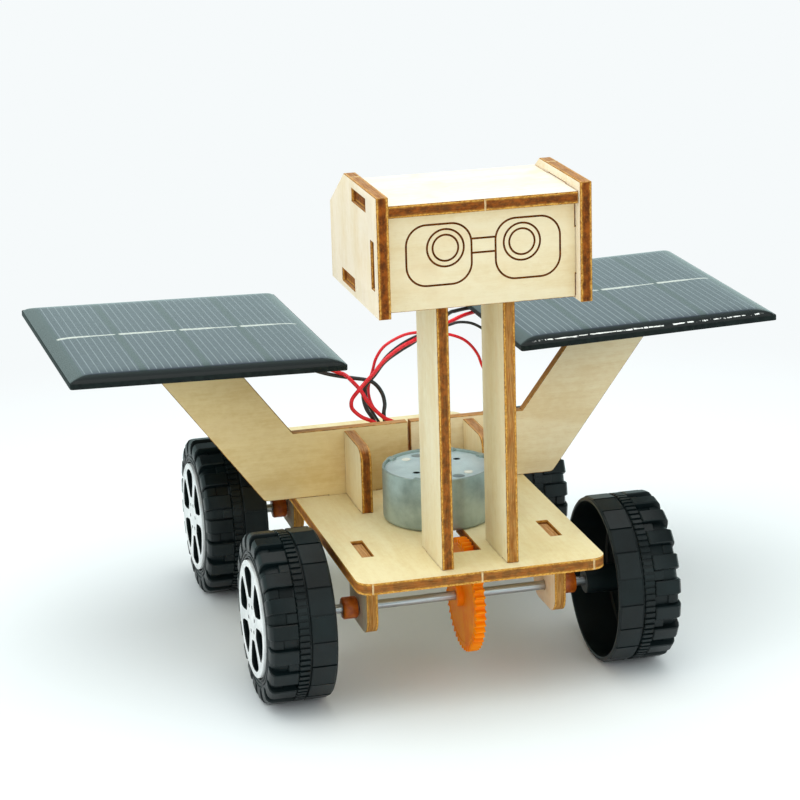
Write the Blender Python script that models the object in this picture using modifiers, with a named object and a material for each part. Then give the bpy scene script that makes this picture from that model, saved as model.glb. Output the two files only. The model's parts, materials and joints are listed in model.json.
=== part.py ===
"""Laser-cut plywood rover kit with a box head, two tilted solar panels, a worm driven front axle and four hollow wheels.

Metres, +Z up. The origin is on the ground below the middle of the whole kit; the numbers below are taken from the middle of the deck. -Y is the front (the face), X runs across the car.
"""
import math

import bmesh
import bpy
from mathutils import Vector

MM = 0.001

# plywood
PLY = 2.5            # sheet thickness
GAP = 0.15           # space left between plates that rest on or pass each other
TAB_SHORT = 0.8      # how far a tab stops below the face it comes out at

# deck
DECK_W = 53.6
DECK_L = 115.2
DECK_TOP = 31.2
DECK_R = 3.2
WINDOW_X = 3.1
WINDOW_Y0 = -44.45
WINDOW_Y1 = -22.0

# axles and wheels
AXLE_Y = 35.8
AXLE_Z = 18.3
AXLE_R = 1.0
AXLE_HALF = 43.3
PRESS = 0.05         # radial space in a pushed-on bore
RUN = 0.10           # radial running clearance
BRACKET_X = 19.6     # inner face
BRACKET_HALF = 7.75
BRACKET_BOTTOM = 14.1
BRACKET_TAB = 5.35
BUSH_R = 2.4
WHEEL_R = 18.3
WHEEL_IN = 30.75
WHEEL_OUT = 45.0
HUB_DISC_R = 12.6
LUGS = 20

# drive
TEETH = 48
MODULE = 0.5
GEAR_X0 = 0.7
GEAR_W = 2.2
MOTOR_X = 0.6
MOTOR_Y = -19.5
MOTOR_R = 12.2
MOTOR_Z0 = 31.3
MOTOR_Z1 = 43.1
WORM_R = 4.65
WORM_ROOT = 3.65
WORM_Z0 = 16.4
WORM_Z1 = 23.6

# posts
POST_X = 5.78        # inner face
POST_Y0 = -54.7
POST_Y1 = -38.4
POST_TOP = 89.3

# head
HEAD_X = 22.2        # outer face of a side panel
HEAD_Y0 = -63.0
HEAD_Y1 = -22.6
HEAD_Z0 = 88.2
HEAD_Z1 = 112.8
HEAD_CH_Y = -36.1    # where the back slope starts at the top
HEAD_CH_Z = 104.5    # where it ends at the back
FACE_Y = -60.0       # front of the face plate
FACE_Z0 = 88.7
TOP_Z = 108.35       # underside of the top plate
BOT_Z = 89.5         # underside of the bottom plate

# wings and braces
WING_Y = 2.3
WING_TOP = 46.6
WING_HALF = 26.9
WING_FOOT = 33.9
ARM_SLOPE = 0.745
BRACE_X = 12.66      # inner face
BRACE_Y0 = -13.2
BRACE_TOP = 46.0

# solar panels
# each panel's seat: middle x, y and the board's underside z, then tilt up outward and turn, in degrees
PANEL_SEAT = {-1: (49.9, 13.1, 67.35, 1.8, 1.55), 1: (50.38, 16.2, 67.05, 1.38, 0.68)}
PANEL_W = 60.2
PANEL_D = 68.2
BOARD_T = 1.2
CELL_T = 0.25
RESIN_T = 1.5

WIRE_R = 0.55

ROW_Y = 2.7          # moves the finished kit so that the frame is centred on it
ROW_Z = 0.06

COLORS = {
    "plywood": ((0.80, 0.66, 0.42), 0.0, 0.6),
    "circuit_board": ((0.03, 0.05, 0.06), 0.0, 0.4),
    "solar_cell": ((0.08, 0.12, 0.18), 0.2, 0.3),
    "clear_resin": ((0.10, 0.13, 0.16), 0.0, 0.08),
    "motor_steel": ((0.50, 0.55, 0.56), 0.9, 0.35),
    "axle_steel": ((0.65, 0.66, 0.68), 1.0, 0.25),
    "bearing_brass": ((0.70, 0.50, 0.20), 1.0, 0.3),
    "copper": ((0.70, 0.32, 0.15), 1.0, 0.35),
    "magnet_ferrite": ((0.05, 0.05, 0.055), 0.1, 0.6),
    "foam_tape": ((0.85, 0.85, 0.82), 0.0, 0.9),
    "gear_orange": ((0.90, 0.30, 0.02), 0.0, 0.35),
    "worm_white": ((0.85, 0.85, 0.80), 0.0, 0.4),
    "bush_rubber": ((0.45, 0.14, 0.03), 0.0, 0.5),
    "wheel_black": ((0.015, 0.018, 0.02), 0.0, 0.4),
    "hub_silver": ((0.75, 0.76, 0.77), 0.3, 0.35),
    "wire_red": ((0.70, 0.02, 0.02), 0.0, 0.35),
    "wire_black": ((0.02, 0.02, 0.02), 0.0, 0.35),
}

for old in list(bpy.data.objects):
    bpy.data.objects.remove(old, do_unlink=True)

PARTS = bpy.data.collections.new("solar_rover")
CUTTERS = bpy.data.collections.new("cutters")
bpy.context.scene.collection.children.link(PARTS)
bpy.context.scene.collection.children.link(CUTTERS)


def material(node, slot):
    """A Principled material of the node's own, in its slot's finish."""
    colour, metal, rough = COLORS[slot]
    m = bpy.data.materials.new(slot + "_" + node)
    m.use_nodes = True
    b = m.node_tree.nodes["Principled BSDF"]
    b.inputs["Base Color"].default_value = (*colour, 1.0)
    b.inputs["Metallic"].default_value = metal
    b.inputs["Roughness"].default_value = rough
    return m


def put(o, name, slot, smooth=False):
    o.name = name
    o.data.name = name
    o.data.materials.clear()
    o.data.materials.append(material(name, slot))
    for c in list(o.users_collection):
        c.objects.unlink(o)
    PARTS.objects.link(o)
    for p in o.data.polygons:
        p.use_smooth = smooth
    return o


def to_mesh(o, merge=0.000001):
    """Turns a curve or a mesh with modifiers into a plain mesh in the same place."""
    bpy.context.view_layer.update()
    dg = bpy.context.evaluated_depsgraph_get()
    mesh = bpy.data.meshes.new_from_object(o.evaluated_get(dg))
    new = bpy.data.objects.new(o.name + "_m", mesh)
    new.matrix_world = o.matrix_world.copy()
    PARTS.objects.link(new)
    bpy.data.objects.remove(o, do_unlink=True)
    bm = bmesh.new()
    bm.from_mesh(mesh)
    bmesh.ops.remove_doubles(bm, verts=bm.verts, dist=merge)
    bmesh.ops.recalc_face_normals(bm, faces=bm.faces)
    bm.to_mesh(mesh)
    bm.free()
    return new


def rounded(points, n=5):
    """Corner points (x, y, radius) in millimetres to an outline with arcs at the corners."""
    out = []
    count = len(points)
    for i, (x, y, r) in enumerate(points):
        p = Vector((x, y))
        if r <= 0:
            out.append(p)
            continue
        a = (Vector(points[i - 1][:2]) - p).normalized()
        b = (Vector(points[(i + 1) % count][:2]) - p).normalized()
        half = a.angle(b) / 2
        d = r / math.tan(half)
        c = p + (a + b).normalized() * (r / math.sin(half))
        s, e = p + a * d - c, p + b * d - c
        turn = s.angle_signed(e)
        for k in range(n + 1):
            t = -turn * k / n
            out.append(c + Vector((s.x * math.cos(t) - s.y * math.sin(t), s.x * math.sin(t) + s.y * math.cos(t))))
    return [(v.x, v.y) for v in out]


def circle(cx, cy, r, n=24, start=0.0):
    return [(cx + r * math.cos(start + 2 * math.pi * i / n), cy + r * math.sin(start + 2 * math.pi * i / n)) for i in range(n)]


def rect(x0, x1, y0, y1):
    return [(x0, y0), (x1, y0), (x1, y1), (x0, y1)]


def plate(name, slot, outline, holes=(), thick=PLY, at=(0, 0, 0), plane="XY"):
    """A flat piece cut from sheet: outline and holes in millimetres, thickness centred on its plane."""
    cu = bpy.data.curves.new(name, "CURVE")
    cu.dimensions = "2D"
    cu.fill_mode = "BOTH"
    cu.extrude = thick / 2 * MM
    for ring in [outline, *holes]:
        sp = cu.splines.new("POLY")
        sp.points.add(len(ring) - 1)
        for q, (x, y) in zip(sp.points, ring):
            q.co = (x * MM, y * MM, 0, 1)
        sp.use_cyclic_u = True
    o = bpy.data.objects.new(name, cu)
    PARTS.objects.link(o)
    o.location = Vector(at) * MM
    if plane == "XZ":
        o.rotation_euler = (math.pi / 2, 0, 0)
    elif plane == "YZ":
        o.rotation_euler = (math.pi / 2, 0, math.pi / 2)
    return put(to_mesh(o), name, slot)


def revolve(name, slot, profile, steps=32, closed=True, at=(0, 0, 0), turn=(0, 0, 0), smooth=False):
    """Turns a profile of (radius, height) points in millimetres about local Z."""
    mesh = bpy.data.meshes.new(name)
    n = len(profile)
    edges = [(i, i + 1) for i in range(n - 1)] + ([(n - 1, 0)] if closed else [])
    mesh.from_pydata([(r * MM, 0, h * MM) for r, h in profile], edges, [])
    o = bpy.data.objects.new(name, mesh)
    PARTS.objects.link(o)
    s = o.modifiers.new("turn", "SCREW")
    s.axis = "Z"
    s.steps = steps
    s.render_steps = steps
    s.use_merge_vertices = True
    s.merge_threshold = 0.000001
    s.use_normal_calculate = True
    o.location = Vector(at) * MM
    o.rotation_euler = turn
    return put(to_mesh(o), name, slot, smooth)


def cut_or_join(o, other, how):
    m = o.modifiers.new("bool", "BOOLEAN")
    m.operation = how
    m.solver = "EXACT"
    m.object = other
    bpy.context.view_layer.update()
    dg = bpy.context.evaluated_depsgraph_get()
    mesh = bpy.data.meshes.new_from_object(o.evaluated_get(dg))
    mats = list(o.data.materials)
    o.modifiers.clear()
    o.data = mesh
    o.data.materials.clear()
    for k in mats:
        o.data.materials.append(k)
    bpy.data.objects.remove(other, do_unlink=True)
    return o


def tube(name, slot, points, r=WIRE_R):
    """A wire along points in millimetres, as one closed body."""
    cu = bpy.data.curves.new(name, "CURVE")
    cu.dimensions = "3D"
    cu.bevel_depth = r * MM
    cu.bevel_resolution = 1
    cu.use_fill_caps = True
    sp = cu.splines.new("POLY")
    sp.points.add(len(points) - 1)
    for q, p in zip(sp.points, points):
        q.co = (p[0] * MM, p[1] * MM, p[2] * MM, 1)
    o = bpy.data.objects.new(name, cu)
    PARTS.objects.link(o)
    return put(to_mesh(o), name, slot, True)


def smooth_path(points, per=3):
    """Extra points between way points, on a Catmull-Rom line."""
    p = [Vector(q) for q in points]
    p = [p[0] * 2 - p[1]] + p + [p[-1] * 2 - p[-2]]
    out = []
    for i in range(1, len(p) - 2):
        for k in range(per):
            t = k / per
            out.append(0.5 * ((2 * p[i]) + (p[i + 1] - p[i - 1]) * t + (2 * p[i - 1] - 5 * p[i] + 4 * p[i + 1] - p[i + 2]) * t * t
                              + (3 * p[i] - p[i - 1] - 3 * p[i + 1] + p[i + 2]) * t ** 3))
    out.append(p[-2])
    return [tuple(v) for v in out]


# ---------------------------------------------------------------- deck
HW, HL = DECK_W / 2, DECK_L / 2
tab_y = (-51.0, -42.0)
wing_tab = (8.0, 19.2)
brace_tab = (-10.5, -2.5)
S = 0.1   # slot clearance each side
holes = [circle(-9.6, 53.8, 1.0, 12)]
# the gear window runs back into a round hole for the worm
worm_hole = 5.6
a0 = math.asin((WINDOW_X) / worm_hole)
arc = []
for k in range(17):
    a = -math.pi / 2 + math.asin((WINDOW_X - MOTOR_X) / worm_hole) + (2 * math.pi - math.asin((WINDOW_X - MOTOR_X) / worm_hole) - math.asin((WINDOW_X + MOTOR_X) / worm_hole)) * k / 16
    arc.append((MOTOR_X + worm_hole * math.cos(a), MOTOR_Y + worm_hole * math.sin(a)))
holes.append([(-WINDOW_X, WINDOW_Y0), (WINDOW_X, WINDOW_Y0)] + arc)
for sx in (-1, 1):
    for sy in (-1, 1):
        x0, x1 = sorted((sx * (BRACKET_X - S), sx * (BRACKET_X + PLY + S)))
        holes.append(rect(x0, x1, sy * AXLE_Y - BRACKET_TAB - S, sy * AXLE_Y + BRACKET_TAB + S))
    x0, x1 = sorted((sx * (POST_X - S), sx * (POST_X + PLY + S)))
    holes.append(rect(x0, x1, tab_y[0] - S, tab_y[1] + S))
    x0, x1 = sorted((sx * (wing_tab[0] - S), sx * (wing_tab[1] + S)))
    holes.append(rect(x0, x1, WING_Y - S, WING_Y + PLY + S))
    x0, x1 = sorted((sx * (BRACE_X - S), sx * (BRACE_X + PLY + S)))
    holes.append(rect(x0, x1, brace_tab[0] - S, brace_tab[1] + S))
deck_outline = rounded([(-HW, -HL, DECK_R), (HW, -HL, DECK_R), (HW, HL, DECK_R), (-HW, HL, DECK_R)])
plate("deck", "plywood", deck_outline, holes, at=(0, 0, DECK_TOP - PLY / 2))

# ---------------------------------------------------------------- axle brackets
under = DECK_TOP - PLY - GAP
for sx, side in ((-1, "left"), (1, "right")):
    for sy, end in ((-1, "front"), (1, "rear")):
        outline = rounded([
            (-BRACKET_HALF, BRACKET_BOTTOM, 3.6), (BRACKET_HALF, BRACKET_BOTTOM, 3.6), (BRACKET_HALF, under, 0),
            (BRACKET_TAB, under, 0), (BRACKET_TAB, DECK_TOP - TAB_SHORT, 0), (-BRACKET_TAB, DECK_TOP - TAB_SHORT, 0),
            (-BRACKET_TAB, under, 0), (-BRACKET_HALF, under, 0)])
        plate(f"axle_bracket_{end}_{side}", "plywood", outline, [circle(0, AXLE_Z, AXLE_R + RUN, 24)],
              at=(sx * (BRACKET_X + PLY / 2), sy * AXLE_Y, 0), plane="YZ")

# ---------------------------------------------------------------- neck posts
for sx, side in ((-1, "left"), (1, "right")):
    lo = DECK_TOP + GAP
    outline = [(POST_Y0, lo), (tab_y[0], lo), (tab_y[0], DECK_TOP - PLY + TAB_SHORT), (tab_y[1], DECK_TOP - PLY + TAB_SHORT), (tab_y[1], lo),
               (POST_Y1, lo), (POST_Y1, POST_TOP), (tab_y[1], POST_TOP), (tab_y[1], BOT_Z + PLY - 0.4), (tab_y[0], BOT_Z + PLY - 0.4),
               (tab_y[0], POST_TOP), (POST_Y0, POST_TOP)]
    plate(f"neck_post_{side}", "plywood", outline, at=(sx * (POST_X + PLY / 2), 0, 0), plane="YZ")

# ---------------------------------------------------------------- head
inner = HEAD_X - PLY - GAP
top_tab = (-54.1, -42.7)
bot_tab = (-43.0, -32.2)
face_tab = (93.6, 103.2)
reach = HEAD_X - TAB_SHORT
for sx, side in ((-1, "left"), (1, "right")):
    outline = [(HEAD_Y0, HEAD_Z0), (HEAD_Y1, HEAD_Z0), (HEAD_Y1, HEAD_CH_Z), (HEAD_CH_Y, HEAD_Z1), (HEAD_Y0, HEAD_Z1)]
    slots = [rect(top_tab[0] - S, top_tab[1] + S, TOP_Z - S, TOP_Z + PLY + S),
             rect(bot_tab[0] - S, bot_tab[1] + S, BOT_Z - S, BOT_Z + PLY + S),
             rect(FACE_Y - S, FACE_Y + PLY + S, face_tab[0] - S, face_tab[1] + S)]
    plate(f"head_side_{side}", "plywood", outline, slots, at=(sx * (HEAD_X - PLY / 2), 0, 0), plane="YZ")


def tabbed(x, y0, y1, t0, t1, out):
    """A rectangle, x each way and y0 to y1, with one tab out of each side between t0 and t1."""
    return [(-x, y0), (x, y0), (x, t0), (out, t0), (out, t1), (x, t1), (x, y1), (-x, y1), (-x, t1), (-out, t1), (-out, t0), (-x, t0)]


plate("head_top_plate", "plywood", tabbed(inner, -62.2, -33.0, *top_tab, reach), at=(0, 0, TOP_Z + PLY / 2))
slots = []
for sx in (-1, 1):
    x0, x1 = sorted((sx * (POST_X - S), sx * (POST_X + PLY + S)))
    slots.append(rect(x0, x1, tab_y[0] - S, tab_y[1] + S))
plate("head_bottom_plate", "plywood", tabbed(inner, FACE_Y + PLY + GAP, -24.0, *bot_tab, reach), slots, at=(0, 0, BOT_Z + PLY / 2))
plate("head_front_plate", "plywood", tabbed(inner, FACE_Z0, TOP_Z - GAP, *face_tab, reach), at=(0, FACE_Y + PLY / 2, 0), plane="XZ")

# ---------------------------------------------------------------- wings and braces
lo = DECK_TOP + GAP
for sx, side in ((-1, "left"), (1, "right")):
    px, py, pz, tilt, yaw = PANEL_SEAT[sx]
    arm_top = pz - 1.0
    xi = WING_HALF + (arm_top - WING_TOP) * ARM_SLOPE
    xo = WING_FOOT + (arm_top - DECK_TOP) * ARM_SLOPE
    lean = math.tan(math.radians(tilt))
    zi, zo = arm_top + (xi - px) * lean, arm_top + (xo - px) * lean
    pts = [(4.5, lo), (wing_tab[0], lo), (wing_tab[0], DECK_TOP - PLY + TAB_SHORT), (wing_tab[1], DECK_TOP - PLY + TAB_SHORT), (wing_tab[1], lo),
           (WING_FOOT, lo), (xo, zo), (xi, zi), (WING_HALF, WING_TOP), (0.3, WING_TOP), (0.3, 38.0), (3.0, 38.0), (4.5, 36.0)]
    pts = rounded([(x, z, 1.6 if abs(x - WING_FOOT) < 0.01 else 0) for x, z in pts], 4)
    if sx < 0:
        pts = [(-x, z) for x, z in pts][::-1]
    plate(f"wing_{side}", "plywood", pts, at=(0, WING_Y + PLY / 2, 0), plane="XZ")
    y1 = WING_Y - GAP
    outline = rounded([(BRACE_Y0, lo, 0), (brace_tab[0], lo, 0), (brace_tab[0], DECK_TOP - PLY + TAB_SHORT, 0), (brace_tab[1], DECK_TOP - PLY + TAB_SHORT, 0),
                       (brace_tab[1], lo, 0), (y1, lo, 0), (y1, BRACE_TOP, 0), (BRACE_Y0, BRACE_TOP, 3.2)])
    plate(f"wing_brace_{side}", "plywood", outline, at=(sx * (BRACE_X + PLY / 2), 0, 0), plane="YZ")

# ---------------------------------------------------------------- solar panels
for sx, side in ((-1, "left"), (1, "right")):
    frame = bpy.data.objects.new(f"panel_seat_{side}", None)
    PARTS.objects.link(frame)
    px, py, pz, tilt, yaw = PANEL_SEAT[sx]
    yaw = math.radians(yaw)
    frame.location = Vector((sx * px, py, pz)) * MM
    frame.rotation_euler = (0, -sx * math.radians(tilt), yaw)
    w, d = PANEL_W / 2, PANEL_D / 2
    board = plate(f"solar_board_{side}", "circuit_board", rounded([(-w, -d, 1.2), (w, -d, 1.2), (w, d, 1.2), (-w, d, 1.2)], 3),
                  thick=BOARD_T, at=(0, 0, BOARD_T / 2))
    cells = plate(f"solar_cells_{side}", "solar_cell", rect(-w + 2.2, w - 2.2, -d + 3.0, d - 3.0), thick=CELL_T, at=(0, 0, BOARD_T + 0.02 + CELL_T / 2))
    # the resin is a shallow dome with a pocket below it for the cells
    z0 = BOARD_T + 0.02
    resin = plate(f"solar_resin_{side}", "clear_resin", rounded([(-w + 0.3, -d + 0.3, 1.4), (w - 0.3, -d + 0.3, 1.4), (w - 0.3, d - 0.3, 1.4), (-w + 0.3, d - 0.3, 1.4)], 3),
                  thick=RESIN_T, at=(0, 0, z0 + RESIN_T / 2))
    bev = resin.modifiers.new("round", "BEVEL")
    bev.width = 1.1 * MM
    bev.segments = 2
    bev.limit_method = "ANGLE"
    bev.angle_limit = math.radians(60)
    bev.use_clamp_overlap = True
    group = resin.vertex_groups.new(name="top")
    group.add([v.index for v in resin.data.vertices if v.co.z > 0], 1.0, "REPLACE")
    bev.limit_method = "VGROUP"
    bev.vertex_group = "top"
    resin = put(to_mesh(resin), f"solar_resin_{side}", "clear_resin")
    pocket = plate("pocket", "clear_resin", rect(-w + 2.0, w - 2.0, -d + 2.8, d - 2.8), thick=2 * (CELL_T + 0.1), at=(0, 0, z0))
    cut_or_join(resin, pocket, "DIFFERENCE")
    for piece in (board, cells, resin):
        piece.parent = frame
    # the pad lies on the arm's end, in the panel's own turned frame
    dx = sx * ((WING_HALF + WING_FOOT) / 2 + (pz - 1.0 - (WING_TOP + DECK_TOP) / 2) * ARM_SLOPE - px)
    dy = WING_Y + PLY / 2 - py
    cx, cy = dx * math.cos(yaw) + dy * math.sin(yaw), dy * math.cos(yaw) - dx * math.sin(yaw)
    pad = plate(f"panel_pad_{side}", "foam_tape", rect(cx - 8.0, cx + 8.0, cy - PLY / 2 - 1.0, cy + PLY / 2 + 1.0), thick=0.8, at=(0, 0, -0.5))
    pad.parent = frame

# ---------------------------------------------------------------- wheels and axles
# how far each wheel is pushed on past its nominal place
PUSHED_ON = {("front", -1): 0.0, ("front", 1): 0.0, ("rear", -1): 0.55, ("rear", 1): 2.2}
WHEEL = [(18.1, WHEEL_IN), (18.1, 38.8), (17.2, 38.8), (17.2, 43.9), (15.6, 45.0), (13.3, 45.0), (13.3, 44.2),
         (11.6, 44.2), (11.2, 40.8), (3.1, 40.8), (3.0, 43.9), (AXLE_R + PRESS, 43.9), (AXLE_R + PRESS, 28.7), (2.9, 28.7), (3.1, 39.6), (16.2, 39.6), (17.2, WHEEL_IN)]


def wheel(name, sx, y, push):
    turn = (0, sx * math.pi / 2, 0)
    o = revolve(name, "wheel_black", WHEEL, steps=40, at=(-sx * push, y, AXLE_Z), turn=turn)
    mesh = bpy.data.meshes.new("lugs")
    # a lug is a short bar with a sloped outer end; its lower part sinks into the tyre's wall
    side = ((38.5, 16.8), (38.5, 18.35), (44.2, 18.35), (44.95, 17.4), (44.95, 14.4), (42.0, 14.4), (39.9, 16.8))
    verts, faces = [], []
    for i in range(LUGS):
        a = (i + 0.5) * 2 * math.pi / LUGS
        ca, sa = math.cos(a), math.sin(a)
        base = len(verts)
        for t in (-1.5, 1.5):
            verts += [((r * ca - t * sa) * MM, (r * sa + t * ca) * MM, x * MM) for x, r in side]
        n = len(side)
        faces.append([base + k for k in range(n)])
        faces.append([base + n + k for k in range(n)][::-1])
        faces += [[base + k, base + n + k, base + n + (k + 1) % n, base + (k + 1) % n] for k in range(n)]
    mesh.from_pydata(verts, [], faces)
    bm = bmesh.new()
    bm.from_mesh(mesh)
    bmesh.ops.recalc_face_normals(bm, faces=bm.faces)
    bm.to_mesh(mesh)
    bm.free()
    lug = bpy.data.objects.new("lugs", mesh)
    CUTTERS.objects.link(lug)
    lug.hide_render = True
    lug.display_type = "WIRE"
    lug.location = o.location
    lug.rotation_euler = turn
    return cut_or_join(o, lug, "UNION")


def opening(a):
    """One rounded window of the hub disc, centred on angle a."""
    pts = rounded([(5.3, -1.7, 1.0), (9.0, -3.2, 1.2), (10.7, -2.2, 0.8), (10.7, 2.2, 0.8), (9.0, 3.2, 1.2), (5.3, 1.7, 1.0)], 1)
    return [(x * math.cos(a) - y * math.sin(a), x * math.sin(a) + y * math.cos(a)) for x, y in pts]


for sy, end in ((-1, "front"), (1, "rear")):
    y = sy * AXLE_Y
    lo, hi = -AXLE_HALF + PUSHED_ON[end, -1], AXLE_HALF - PUSHED_ON[end, 1]
    revolve(f"{end}_axle_rod", "axle_steel", [(0, lo), (AXLE_R - 0.2, lo), (AXLE_R, lo + 0.2), (AXLE_R, hi - 0.2), (AXLE_R - 0.2, hi), (0, hi)],
            steps=16, closed=False, at=(0, y, AXLE_Z), turn=(0, math.pi / 2, 0), smooth=False)
    for sx, side in ((-1, "left"), (1, "right")):
        push = PUSHED_ON[end, sx]
        bush_end = 25.7 if sx < 0 else 26.4
        revolve(f"{end}_bush_{side}", "bush_rubber", [(AXLE_R + PRESS, 22.5), (BUSH_R, 22.5), (BUSH_R, bush_end), (AXLE_R + PRESS, bush_end)],
                steps=18, at=(0, y, AXLE_Z), turn=(0, sx * math.pi / 2, 0))
        wheel(f"{end}_wheel_{side}", sx, y, push)
        disc = plate(f"{end}_hub_disc_{side}", "hub_silver", circle(0, 0, HUB_DISC_R, 32), [opening(math.radians(30 + 60 * k)) for k in range(6)],
                     thick=1.0, at=(sx * (44.95 - push), y, AXLE_Z), plane="YZ")

# ---------------------------------------------------------------- drive gear
pitch_r = TEETH * MODULE / 2
tip, root = pitch_r + 0.45, pitch_r - 0.65
outline = []
for i in range(TEETH):
    c = 2 * math.pi * i / TEETH
    step = 2 * math.pi / TEETH
    # a tooth points straight back, at the worm, with the worm's thread in the gap next to it
    for r, a in ((root, -0.27), (tip, -0.12), (tip, 0.12), (root, 0.27)):
        outline.append((r * math.cos(c + a * step), r * math.sin(c + a * step)))
gear = plate("drive_gear", "gear_orange", outline, [circle(0, 0, AXLE_R + PRESS, 16)], thick=GEAR_W, at=(GEAR_X0 + GEAR_W / 2, -AXLE_Y, AXLE_Z), plane="YZ")
boss = revolve("boss", "gear_orange", [(AXLE_R + PRESS, -1.3), (2.5, -1.3), (2.5, 0.6), (AXLE_R + PRESS, 0.6)], steps=16, at=(GEAR_X0, -AXLE_Y, AXLE_Z), turn=(0, math.pi / 2, 0))
cut_or_join(gear, boss, "UNION")

# ---------------------------------------------------------------- motor
mx, my = MOTOR_X, MOTOR_Y
revolve("motor_can", "motor_steel", [(2.6, MOTOR_Z0), (MOTOR_R - 0.7, MOTOR_Z0), (MOTOR_R, MOTOR_Z0 + 0.7), (MOTOR_R, MOTOR_Z1 - 0.3), (MOTOR_R - 0.3, MOTOR_Z1),
                                     (MOTOR_R - 0.9, MOTOR_Z1), (MOTOR_R - 0.9, MOTOR_Z0 + 0.9), (2.6, MOTOR_Z0 + 0.9)], steps=32, at=(mx, my, 0))
end = plate("motor_end_plate", "motor_steel", circle(mx, my, MOTOR_R - 1.05, 32),
            [circle(mx + 4.9, my + 2.0, 0.6, 8), circle(mx - 6.4, my - 4.7, 0.6, 8)], thick=0.9, at=(0, 0, MOTOR_Z1 - 1.2))
revolve("motor_bearing", "bearing_brass", [(AXLE_R + RUN, 30.6), (2.2, 30.6), (2.2, MOTOR_Z0 - 0.15), (2.45, MOTOR_Z0 - 0.15), (2.45, MOTOR_Z0 + 1.6), (AXLE_R + RUN, MOTOR_Z0 + 1.6)],
        steps=20, at=(mx, my, 0))
revolve("motor_shaft", "axle_steel", [(0, 15.9), (AXLE_R - 0.15, 15.9), (AXLE_R, 16.1), (AXLE_R, 41.0), (AXLE_R - 0.15, 41.2), (0, 41.2)], steps=16, closed=False, at=(mx, my, 0))
revolve("motor_armature", "copper", [(AXLE_R + PRESS, 34.4), (7.4, 34.4), (8.6, 35.2), (8.6, 38.2), (7.4, 39.0), (AXLE_R + PRESS, 39.0)], steps=24, at=(mx, my, 0))
revolve("motor_commutator", "copper", [(AXLE_R + PRESS, 39.3), (2.3, 39.3), (2.3, 40.9), (AXLE_R + PRESS, 40.9)], steps=18, at=(mx, my, 0))
for sx, side in ((-1, "left"), (1, "right")):
    ring = []
    for r, way in ((10.9, 1), (9.3, -1)):
        for k in range(9):
            a = math.radians(-62 + 124 * k / 8) * way
            ring.append((mx + sx * r * math.cos(a), my + r * math.sin(a)))
    if sx < 0:
        ring = ring[::-1]
    plate(f"motor_magnet_{side}", "magnet_ferrite", ring, thick=5.4, at=(0, 0, 36.7))
    # solder tags stand behind the can
    plate(f"motor_terminal_{side}", "copper", rect(mx + sx * 3.0 - 0.9, mx + sx * 3.0 + 0.9, 33.4, 36.6), thick=0.4, at=(0, my + MOTOR_R + 0.5, 0), plane="XZ")

# ---------------------------------------------------------------- worm
lead = math.pi * MODULE
turns = 4
# the thread is right-handed; at the gear it leaves a gap at the axle's height, where one tooth points straight back
thread_z = AXLE_Z + lead / 2 - 0.75 * lead - lead
mesh = bpy.data.meshes.new("thread")
ridge = [(WORM_ROOT - 0.3, -0.24), (WORM_R, -0.10), (WORM_R, 0.10), (WORM_ROOT - 0.3, 0.24)]
mesh.from_pydata([(r * MM, 0, (thread_z + h * lead) * MM) for r, h in ridge], [(0, 1), (1, 2), (2, 3), (3, 0)], [])
thread = bpy.data.objects.new("thread", mesh)
PARTS.objects.link(thread)
sc = thread.modifiers.new("helix", "SCREW")
sc.axis = "Z"
sc.angle = 2 * math.pi
sc.screw_offset = lead * MM
sc.iterations = turns
sc.steps = 16
sc.render_steps = 16
sc.use_merge_vertices = False
thread.location = Vector((mx, my, 0)) * MM
thread = to_mesh(thread)
bm = bmesh.new()
bm.from_mesh(thread.data)
bmesh.ops.holes_fill(bm, edges=[e for e in bm.edges if e.is_boundary], sides=4)
bmesh.ops.recalc_face_normals(bm, faces=bm.faces)
bm.to_mesh(thread.data)
bm.free()
worm = revolve("worm", "worm_white", [(AXLE_R + PRESS, WORM_Z0), (WORM_ROOT, WORM_Z0), (WORM_ROOT, WORM_Z1), (AXLE_R + PRESS, WORM_Z1)], steps=16, at=(mx, my, 0))
cut_or_join(worm, thread, "UNION")

# ---------------------------------------------------------------- wires
RUNS = {
    "wire_red_left": ("wire_red", [(-25, 12, 65.8), (-20, 10, 62.5), (-15.5, 8.5, 59), (-11.5, 8, 54.5), (-8, 8, 50), (-4.6, 8, 45.5), (-3.6, 8, 40), (-3.2, 6.6, 34.6), (-3.2, 0, 34.2), (-3.2, -5.2, 34.4)]),
    "wire_black_left": ("wire_black", [(-25, 15, 65.8), (-20, 13, 63), (-15, 11.5, 60.4), (-8.5, 11, 57.6), (-5.6, 11, 53.5), (-4.9, 11, 48.5), (-1.4, 11, 43), (1.4, 10.4, 37), (1.0, 6.6, 33.0), (1.0, 0, 32.6), (2.9, -5.2, 33.4)]),
    "wire_red_right": ("wire_red", [(25, 12, 65.2), (20.5, 10, 63.0), (16, 7, 64.5), (10, 6, 67.6), (3, 6, 68.6), (-2, 5.6, 66.5), (-6, 5.6, 62.5), (-9, 5.8, 58.0), (-12, 5.7, 53.5), (-11, 6.0, 49), (-7.6, 10.0, 43.5), (-5.4, 12.4, 39), (-1.6, 9.0, 35.4), (-1.4, 0, 35.4), (-2.9, -5.2, 36.1)]),
    "wire_black_right": ("wire_black", [(25, 16, 65.2), (20.5, 14, 64.6), (16, 13, 67.6), (8, 12.4, 69.6), (3, 12, 66.8), (-2, 12.4, 62.4), (-6.5, 13, 57.5), (-8.6, 13.8, 52), (-6.4, 15.4, 46), (-1.6, 17, 40), (3.8, 13.4, 36.2), (3.5, 8, 35.0), (3.3, 2, 34.8), (3.0, -5.2, 35.9)]),
}
for name, (slot, way) in RUNS.items():
    tube(name, slot, smooth_path(way, 2))

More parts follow.
